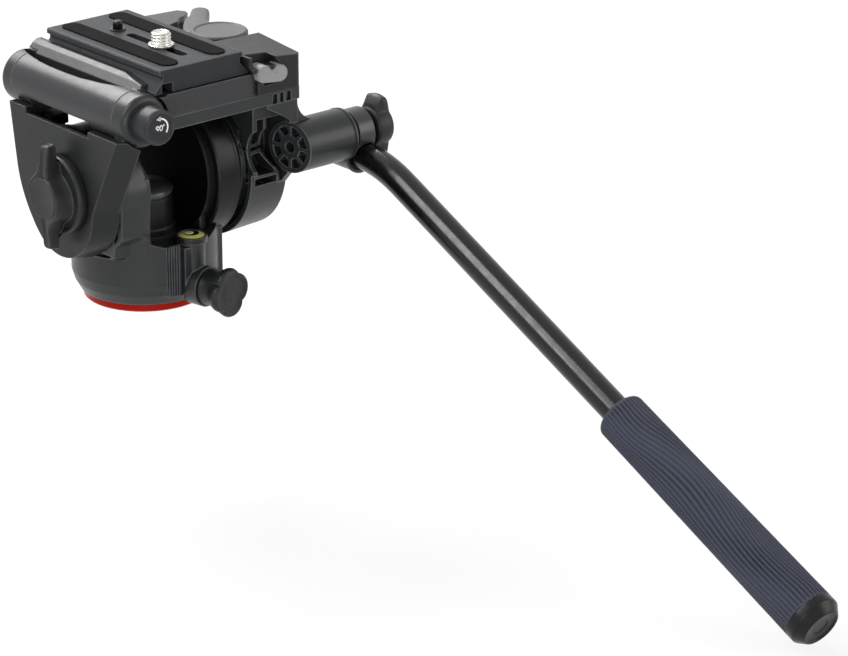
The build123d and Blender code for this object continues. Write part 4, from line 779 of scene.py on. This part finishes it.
class HEAD_OT_plate_locks(bpy.types.Operator):
    """Grey plate lever and the light grey, bean-shaped safety button"""
    bl_idname = "video_head.plate_locks"
    bl_label = "Plate lever and safety button"

    def execute(self, context):
        place = upright(LEVER)
        disc = rounded([(0, 117.5), (13.7, 117.5), (14.0, 118.0), (14.0, 122.0), (13.1, 122.9), (12.1, 122.9),
                        (11.5, 122.3), (0, 122.4)], 0.4)
        outline = [(-12.6, 4.0), (-10.9, 13.5), (-5.0, 21.8), (1.2, 28.4), (6.3, 31.8), (10.3, 36.2),
                   (14.0, 39.6), (18.0, 39.2), (19.9, 35.6), (18.2, 31.4), (12.5, 24.5), (7.5, 17.0),
                   (7.0, 8.0), (-2.0, 2.0)]
        loop = smooth_loop(outline, 8)
        levels = [(None, 117.6), (0.4, 117.6), (0.0, 118.0), (0.0, 120.6), (0.3, 121.3), (1.0, 121.7),
                  (1.8, 121.8), (None, 121.9)]
        # Pivot and cam under the deck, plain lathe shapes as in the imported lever
        pivot = [(0, 107.5), (4.0, 107.5), (4.0, 117.8), (0, 117.8)]
        cam = [(0, 114.5), (7.6, 114.5), (7.6, 117.0), (0, 117.0)]
        lever = skin("plate_lever", [turned(disc, place), lofted(loop, levels, place),
                                     turned(pivot, place, 48), turned(cam, place, 48)], 30.0)
        placed(lever, moulded("Acetal_mid_grey", tone(colour_of(context, "light"), 0.3), rub=4.0), "lever",
               "lock_lever")
        # Bean: its top is two circles of one radius, the left one 1.1 mm higher, joined by a level saddle.
        # Its bottom is one run that leans from one circle to the other
        share = round_angles(112)[0]
        radius, reach, lean = 4.25, 4.65, 0.55
        x = (reach + radius) * np.cos(share)
        lobe = np.sqrt(np.maximum(0, radius ** 2 - (np.abs(x) - reach) ** 2)) - lean * np.sign(x)
        lobe = np.where(np.abs(x) < 3.0, np.maximum(lobe, 2.05), lobe)
        run = np.sqrt(np.maximum(0, radius ** 2 - np.maximum(0, np.abs(x) - reach) ** 2))
        z = np.where(np.sin(share) >= 0, lobe, -run - lean * np.clip(x / reach, -1, 1))
        loop = np.stack([x, z], axis=-1)
        button = axes(SAFETY, (0, -1, 0), (0, 0, 1))
        levels = [(None, 41.6), (0.0, 41.6), (0.0, 49.0), (0.35, 49.7), (1.0, 50.15), (1.9, 50.35),
                  (None, 50.5)]
        bean = skin("safety_bean", [lofted(loop, levels, button)], 40.0)
        placed(bean, moulded("Acetal_light_grey", colour_of(context, "light"), rough=0.45, rub=1.1), "safety",
               "safety_button")
        return {"FINISHED"}


class HEAD_OT_flip_button(bpy.types.Operator):
    """Flip release button with a raised rim, its number and its turning arrow"""
    bl_idname = "video_head.flip_button"
    bl_label = "Flip button"

    def execute(self, context):
        place = axes(HINGE, (0, -1, 0), (0, 0, 1))
        profile = rounded([(0, 43.0), (8.7, 43.0), (8.7, 56.4), (8.0, 57.9), (7.4, 58.0), (6.9, 57.3),
                           (0, 57.3)], [0, 0.3, 1.0, 0.5, 0.4, 0.3, 0], 5)
        button = skin("flip_release_button", [turned(profile, place)], 35.0)
        satin = coated("Satin_coated_button", colour_of(context, "deck"), rough=0.4, edge=0.7, rub=14.0,
                       specular=0.2)
        placed(button, satin, "flip_release", "flip_button")
        low, high = 57.28, 57.36
        nine = np.concatenate([arc((-1.45, 0.35), 0.72, -50, 310, 30), arc((-2.7, 0.3), 1.95, 0, -48, 10)])
        nought = arc((0, 0), 1.0, 0, 360, 30) * (0.75, 1.2) + (0.6, -0.1)
        degree = arc((2.1, 1.0), 0.36, 0, 360, 16)
        sweep = arc((0, 0), 4.4, 100, -38, 40)
        head = np.array([(0.4, 4.4), (-1.9, 4.3)])
        lines = ((nine, 0.5), (nought, 0.5), (degree, 0.32), (sweep, 0.8), (head, np.array([2.4, 0.05])))
        sheets = [stroke(path, width, low, high, place) for path, width in lines]
        marks = skin("flip_button_marks", sheets, 30.0)
        # Pad-printed white ink, a little broken at its edges
        placed(marks, coated("Pad_printed_ink", linear("e8e8e6"), rough=0.5, peel=0.3, edge=0.05, rub=1.0,
                             cloud=0.04), "flip_release")
        return {"FINISHED"}


class HEAD_OT_level(bpy.types.Operator):
    """Bubble level: black cup, tinted lens made lighter as painted light, its circle, the bubble with a painted
    highlight, and liquid
    """
    bl_idname = "video_head.level"
    bl_label = "Bubble level"

    def execute(self, context):
        place = upright(LEVEL)
        cup = rounded([(6.75, 33.4), (7.5, 33.4), (7.5, 35.6), (7.3, 36.0), (6.95, 36.0), (6.75, 35.6),
                       (6.75, 33.4)], 0.1, 3)
        rim = skin("level_rim", [turned(cup[:-1], place)], 40.0)
        placed(rim, moulded("Black_level_rim", linear("1b1b1b"), rough=0.25), "pan")
        dome = rounded([(0, 33.3), (6.7, 33.3), (6.7, 35.4), (5.6, 36.1), (3.2, 36.6), (0, 36.8)],
                       [0, 0.1, 0.3, 1, 1, 0], 5)
        lens = skin("level_lens", [turned(dome, place, 72)], 60.0)
        # Painted light: a pale, opaque tint lighter than the liquid, for light that hardly reaches the lens
        acrylic = glossy_tint("Clear_acrylic_lens", linear("f4fa84"), 0.08)
        placed(lens, acrylic, "pan", "level_vial")
        # The bubble, pale as a painted highlight, and its target circle lie just above the dome, as if seen
        # through it
        circle = rounded([(3.1, 36.4), (3.6, 36.4), (3.6, 36.72), (3.1, 36.78), (3.1, 36.4)], 0.05, 3)[:-1]
        mark = skin("level_circle", [turned(circle, place, 64)], 40.0)
        placed(mark, moulded("Black_level_ink", linear("101206"), rough=0.3, rub=1.0), "pan")
        blister = rounded([(0, 36.5), (2.3, 36.5), (2.2, 36.9), (0, 37.1)], 0.3, 4)
        place = upright(np.array(LEVEL) + (-1.0, 0.8, 0.0))
        glint = skin("level_glint", [turned(blister, place, 48)], 60.0)
        placed(glint, glossy_tint("Pale_bubble", linear("e6eaa8"), 0.05), "pan")
        dress(["level_liquid"], glossy_tint("Level_liquid", colour_of(context, "liquid"), 0.2))
        dress(["level_bubble"], glossy_tint("Level_bubble", linear("eef3c4"), 0.1))
        return {"FINISHED"}


class HEAD_OT_column(bpy.types.Operator):
    """Domed cap of the centre column, its coat made lighter as painted light"""
    bl_idname = "video_head.column"
    bl_label = "Column cap"

    def execute(self, context):
        place = upright((0, 0, 0))
        profile = rounded([(0, 51.0), (13.9, 51.0), (13.9, 51.7), (14.5, 51.9), (14.2, 53.4), (11.6, 55.2),
                           (5.0, 55.6), (0, 55.7)], [0, 0.1, 0.1, 0.3, 1.4, 2, 2, 0], 6)
        cap = skin("column_dome", [turned(profile, place, 112)], 30.0)
        # Painted light: the casting's colour five times lighter, for light that the lamps don't bring into this
        # shade
        placed(cap, coated("Gloss_painted_cap", tone(colour_of(context, "casting"), 5.0), rough=0.3, edge=0.8,
                           rub=6.0, specular=0.6), "pan", "column_cap")
        return {"FINISHED"}


class HEAD_OT_cheek(bpy.types.Operator):
    """Smooth front of the left cheek, a black sheet of painted shade on the right one, and the ribs, black as
    painted shade, behind the left arm's window
    """
    bl_idname = "video_head.cheek"
    bl_label = "Cheek and window ribs"

    def execute(self, context):
        coat = coated("Powder_coated_cheek", tone(colour_of(context, "casting"), 1.7), rough=0.34,
                      edge=edge_of(context), rub=6.0, edge_highlight_share=0.6, specular=0.34)
        # Front: y is a quartic in z fitted to eight measured places, bulged across X by a parabola. Two
        # smooth steps take it to a low foot at z 43 to 35 mm, then into the housing's cylinder at z 31 to 27 mm
        z = np.array([93.0, 85.5, 76.3, 70.8, 65.5, 59.0, 51.0, 44.0])
        y = np.array([-7.0, -15.0, -22.2, -26.5, -29.3, -30.6, -30.5, -30.3])
        fit = np.polynomial.Polynomial.fit(z, y, 4)
        height = np.linspace(90.2, 26.0, 100)[:, None]
        x = np.linspace(-35.45, -17.9, 24)[None]
        front = fit(np.maximum(height, 46.0)) - 0.7 * (1 - ((x + 26.7) / 8.8) ** 2)
        front = front - 0.35 - 0.7 * unit((height - 60.0) / 6.0) + 1.2 * unit(x + 18.9) ** 2
        housing, edge = 35.6, 35.4
        wall = np.sqrt(housing ** 2 - np.minimum(np.abs(x), edge) ** 2)
        for top, run, target in ((43.0, 8.0, np.maximum(wall, 24.35)), (31.0, 4.0, wall)):
            share = eased((top - height) / run)
            front = front * (1 - share) - target * share
        # Its right and lower borders sink into the casting
        front = front + 0.9 * unit((x + 19.4) / 1.5) ** 2 + 0.9 * unit((28.5 - height) / 2.0) ** 2
        outer = np.stack(np.broadcast_arrays(x, front, height), axis=-1)
        inner = outer[:, ::-1] + (0.0, 3.0, 0.0)
        cheek = skin("cheek_front", [np.concatenate([outer, inner], axis=1) * MM], 60.0)
        placed(cheek, coat, "pan")
        # Painted shade: a matt black sheet on the right cheek's inner face, round the tilt axis
        sheet = rounded([(0, 0.0), (30.9, 0.0), (30.9, 0.25), (0, 0.3)], 0.1, 3)
        inner_face = 15.3
        place = axes((inner_face, TILT_AXIS[1], TILT_AXIS[2]), (-1, 0, 0), (0, 0, 1))
        shade_sheet = skin("cheek_lining", [turned(sheet, place, 128)], 40.0)
        matt = coated("Matt_black_sheet", linear("040404"), rough=0.8, edge=0.1, rub=1.0, specular=0.03)
        placed(shade_sheet, matt, "pan")
        # Ribs: plane (y, z) outlines carried along X from the arm's inner face
        place = axes((0, 0, 0), (1, 0, 0), (0, 0, 1))
        web = np.array([(25.0, 83.0), (40.5, 84.0), (40.5, 90.3), (22.8, 90.3), (23.6, 86.0)])
        rib = np.array([(22.6, 85.2), (24.0, 84.6), (24.6, 90.5), (22.6, 90.5)])
        lip = np.array([(17.5, 82.0), (17.5, 87.8), (8.0, 90.0), (0.0, 91.2), (-7.0, 91.2), (-7.0, 82.0)])
        sheets = [lofted(outline, [(0.0, left), (0.0, right)], place)
                  for outline, left, right in ((web, -36.3, -27.0), (rib, -36.2, -26.4), (lip, -38.6, -36.1))]
        ribs = skin("window_ribs", sheets, 30.0)
        # Painted shade: the ribs are near black, for the shade behind the arm's window
        black = coated("Blackened_ribs", linear("0b0b0c"), rough=0.5, edge=0.3, rub=4.0, specular=0.2)
        placed(ribs, black, "tilt")
        return {"FINISHED"}


class HEAD_OT_bar_joint(bpy.types.Operator):
    """Fillet between the platform and the bar boss, the lip of the bar's socket, and black painted shade in the
    joint's gap
    """
    bl_idname = "video_head.bar_joint"
    bl_label = "Bar joint"

    def execute(self, context):
        # For each y across the boss, a quarter round in the XZ plane from the arm's side to the boss's top
        side, reach, crown, boss = 58.0, 11.0, 96.0, 12.8
        across = np.linspace(-46.0, -35.0, 24)[:, None]
        top = BAR_AXIS[2] + np.sqrt(boss ** 2 - (across - BAR_AXIS[1]) ** 2)
        share = np.linspace(0, math.pi / 2, 14)[None]
        x = np.concatenate([[side - 1.0], side + reach * (1 - np.cos(share[0])), [69.5, side - 1.0]])[None]
        curve = top - 0.3 + (1 - np.sin(share)) * (crown - top)
        z = np.concatenate([0 * top + crown, curve, top - 3.0, top - 3.0], axis=1)
        fairing = skin("boss_fairing", [np.stack(np.broadcast_arrays(x, across, z), axis=-1) * MM], 40.0)
        coat = coated("Powder_coated_fairing", colour_of(context, "casting"), rough=0.4,
                      edge=edge_of(context))
        placed(fairing, coat, "tilt")
        place = axes(BAR_SOCKET, (0, -1, 0), (0, 0, 1))
        lip = rounded([(7.3, 47.6), (9.1, 47.6), (9.5, 48.2), (9.5, 48.9), (9.0, 49.4), (7.9, 49.3),
                       (7.3, 48.7), (7.3, 47.6)], 0.25, 4)[:-1]
        ring = skin("socket_lip", [turned(lip, place, 72)], 50.0)
        placed(ring, coated("Powder_coated_lip", tone(colour_of(context, "knob"), 1.5), rough=0.35, edge=0.2),
               "bar")
        # Painted shade: a black ring in the gap between the boss and the bar's clamp
        gap = [(9.0, 84.9), (12.9, 84.9), (13.05, 85.2), (12.6, 86.6), (11.3, 87.1), (9.0, 87.1)]
        gap_shade_ring = skin("joint_seal", [turned(gap, axes(BAR_AXIS, (1, 0, 0), (0, 0, 1)))], 40.0)
        rubber = moulded("Black_seal_rubber", linear("050505"), rough=0.6, rub=1.5)
        placed(gap_shade_ring, rubber, "bar")
        return {"FINISHED"}


# Stage

class HEAD_OT_studio(bpy.types.Operator):
    """Pale floor, soft lamps, white surroundings and the camera"""
    bl_idname = "video_head.studio"
    bl_label = "Studio"

    def execute(self, context):
        studio = context.scene.video_head.studio
        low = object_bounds()[0][2] - studio.floor
        span = 6.0
        corners = [(-span, -span, low), (span, -span, low), (span, span, low), (-span, span, low)]
        mesh = bpy.data.meshes.new("floor")
        mesh.from_pydata(corners, [], [(0, 1, 2, 3)])
        mesh.materials.append(self.paper())
        linked("floor", mesh)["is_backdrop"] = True
        self.surroundings(context)
        self.lamps()
        self.camera(context, studio)
        context.scene.view_settings.view_transform = "Standard"
        return {"FINISHED"}

    def paper(self):
        """Matt white paper, faintly mottled: mostly plain white to the camera, so that shadows are faint."""
        material, tree = new_material("Matt_white_paper")
        base = blend_colours(tree, grain(tree, 60.0, 3.0), linear("f1f1f0"), linear("f6f6f5"))
        matt = add(tree, "ShaderNodeBsdfDiffuse", {"Color": base}).outputs[0]
        white = add(tree, "ShaderNodeEmission", {"Color": (1, 1, 1, 1), "Strength": 1.0}).outputs[0]
        path = add(tree, "ShaderNodeLightPath").outputs
        seen = maths(tree, "MAXIMUM", path["Is Camera Ray"], path["Is Glossy Ray"])
        plain = maths(tree, "MULTIPLY", seen, 0.85)
        return finish_material(material, tree, blend_shaders(tree, plain, matt, white))

    def surroundings(self, context):
        """World: grey light for the object, white to the camera, in glass and in gloss."""
        world = bpy.data.worlds.new("Studio_surroundings")
        context.scene.world = world
        world.use_nodes = True
        tree = world.node_tree
        tree.nodes.clear()
        light, white = (add(tree, "ShaderNodeBackground", {"Color": (1, 1, 1, 1), "Strength": strength})
                        for strength in (0.3, 1.0))
        path = add(tree, "ShaderNodeLightPath").outputs
        seen = maths(tree, "MAXIMUM", path["Is Camera Ray"], path["Is Transmission Ray"])
        seen = maths(tree, "MAXIMUM", seen, path["Is Glossy Ray"])
        shader = blend_shaders(tree, seen, light.outputs[0], white.outputs[0])
        add(tree, "ShaderNodeOutputWorld", {"Surface": shader})

    def lamps(self):
        """Softboxes: wide and high beyond the head, long on its left, small and low, and a weak right one."""
        rows = [("high_softbox", (0.15, 1.2, 1.35), (0.05, 0.0, 0.06), 1.5, 0.5, 40.0),
                ("left_softbox", (-1.15, 0.30, 1.4), (0.05, -0.1, 0.0), 0.3, 1.5, 18.0),
                ("low_softbox", (-0.60, -0.72, 0.12), (0.0, 0.0, 0.03), 0.4, 0.3, 2.0),
                ("right_softbox", (1.1, -1.3, 0.6), (0.05, -0.1, 0.03), 1.0, 1.0, 9.0)]
        for name, where, target, wide, high, power in rows:
            data = bpy.data.lights.new(name, "AREA")
            data.shape = "RECTANGLE"
            data.size = wide
            data.size_y = high
            data.energy = power
            lamp = linked(name, data)
            lamp.location = where
            aim(lamp, target)

    def camera(self, context, studio):
        """Camera on the line of azimuth and elevation from its target."""
        data = bpy.data.cameras.new("camera")
        camera = linked("camera", data)
        data.lens = studio.lens
        data.sensor_width = 36.0
        data.clip_start = 0.05
        data.clip_end = 50.0
        level = math.cos(studio.elevation)
        back = Vector((math.sin(studio.azimuth) * level, -math.cos(studio.azimuth) * level,
                       math.sin(studio.elevation)))
        camera.location = Vector(studio.target) + back * studio.distance
        aim(camera, studio.target)
        context.scene.camera = camera


class HEAD_PT_panel(bpy.types.Panel):
    """Lists the head's pieces and settings"""
    bl_idname = "HEAD_PT_panel"
    bl_label = "Video Head"
    bl_space_type = "VIEW_3D"
    bl_region_type = "UI"
    bl_category = "Video Head"

    def draw(self, context):
        settings = context.scene.video_head
        for group in (settings.finishes, settings.sizes, settings.studio):
            box = self.layout.box()
            for name in group.bl_rna.properties.keys():
                if name not in ("rna_type", "name"):
                    box.prop(group, name)
        for operator in OPERATORS:
            self.layout.operator(operator.bl_idname)


GROUPS = (HeadFinishes, HeadSizes, HeadStudio, HeadSettings)
OPERATORS = (HEAD_OT_castings, HEAD_OT_metals, HEAD_OT_plastics, HEAD_OT_bar_grip, HEAD_OT_camera_screw,
             HEAD_OT_knobs, HEAD_OT_plate_locks, HEAD_OT_flip_button, HEAD_OT_level, HEAD_OT_column,
             HEAD_OT_cheek, HEAD_OT_bar_joint, HEAD_OT_studio)


def register():
    for item in GROUPS + OPERATORS + (HEAD_PT_panel,):
        bpy.utils.register_class(item)
    bpy.types.Scene.video_head = bpy.props.PointerProperty(type=HeadSettings, name="Video head",
                                                           description="Settings of the video head")


def unregister():
    del bpy.types.Scene.video_head
    for item in reversed(GROUPS + OPERATORS + (HEAD_PT_panel,)):
        bpy.utils.unregister_class(item)


def main():
    """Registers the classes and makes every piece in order."""
    register()
    for operator in OPERATORS:
        getattr(bpy.ops.video_head, operator.bl_idname.split(".")[1])()


if __name__ == "__main__":
    main()
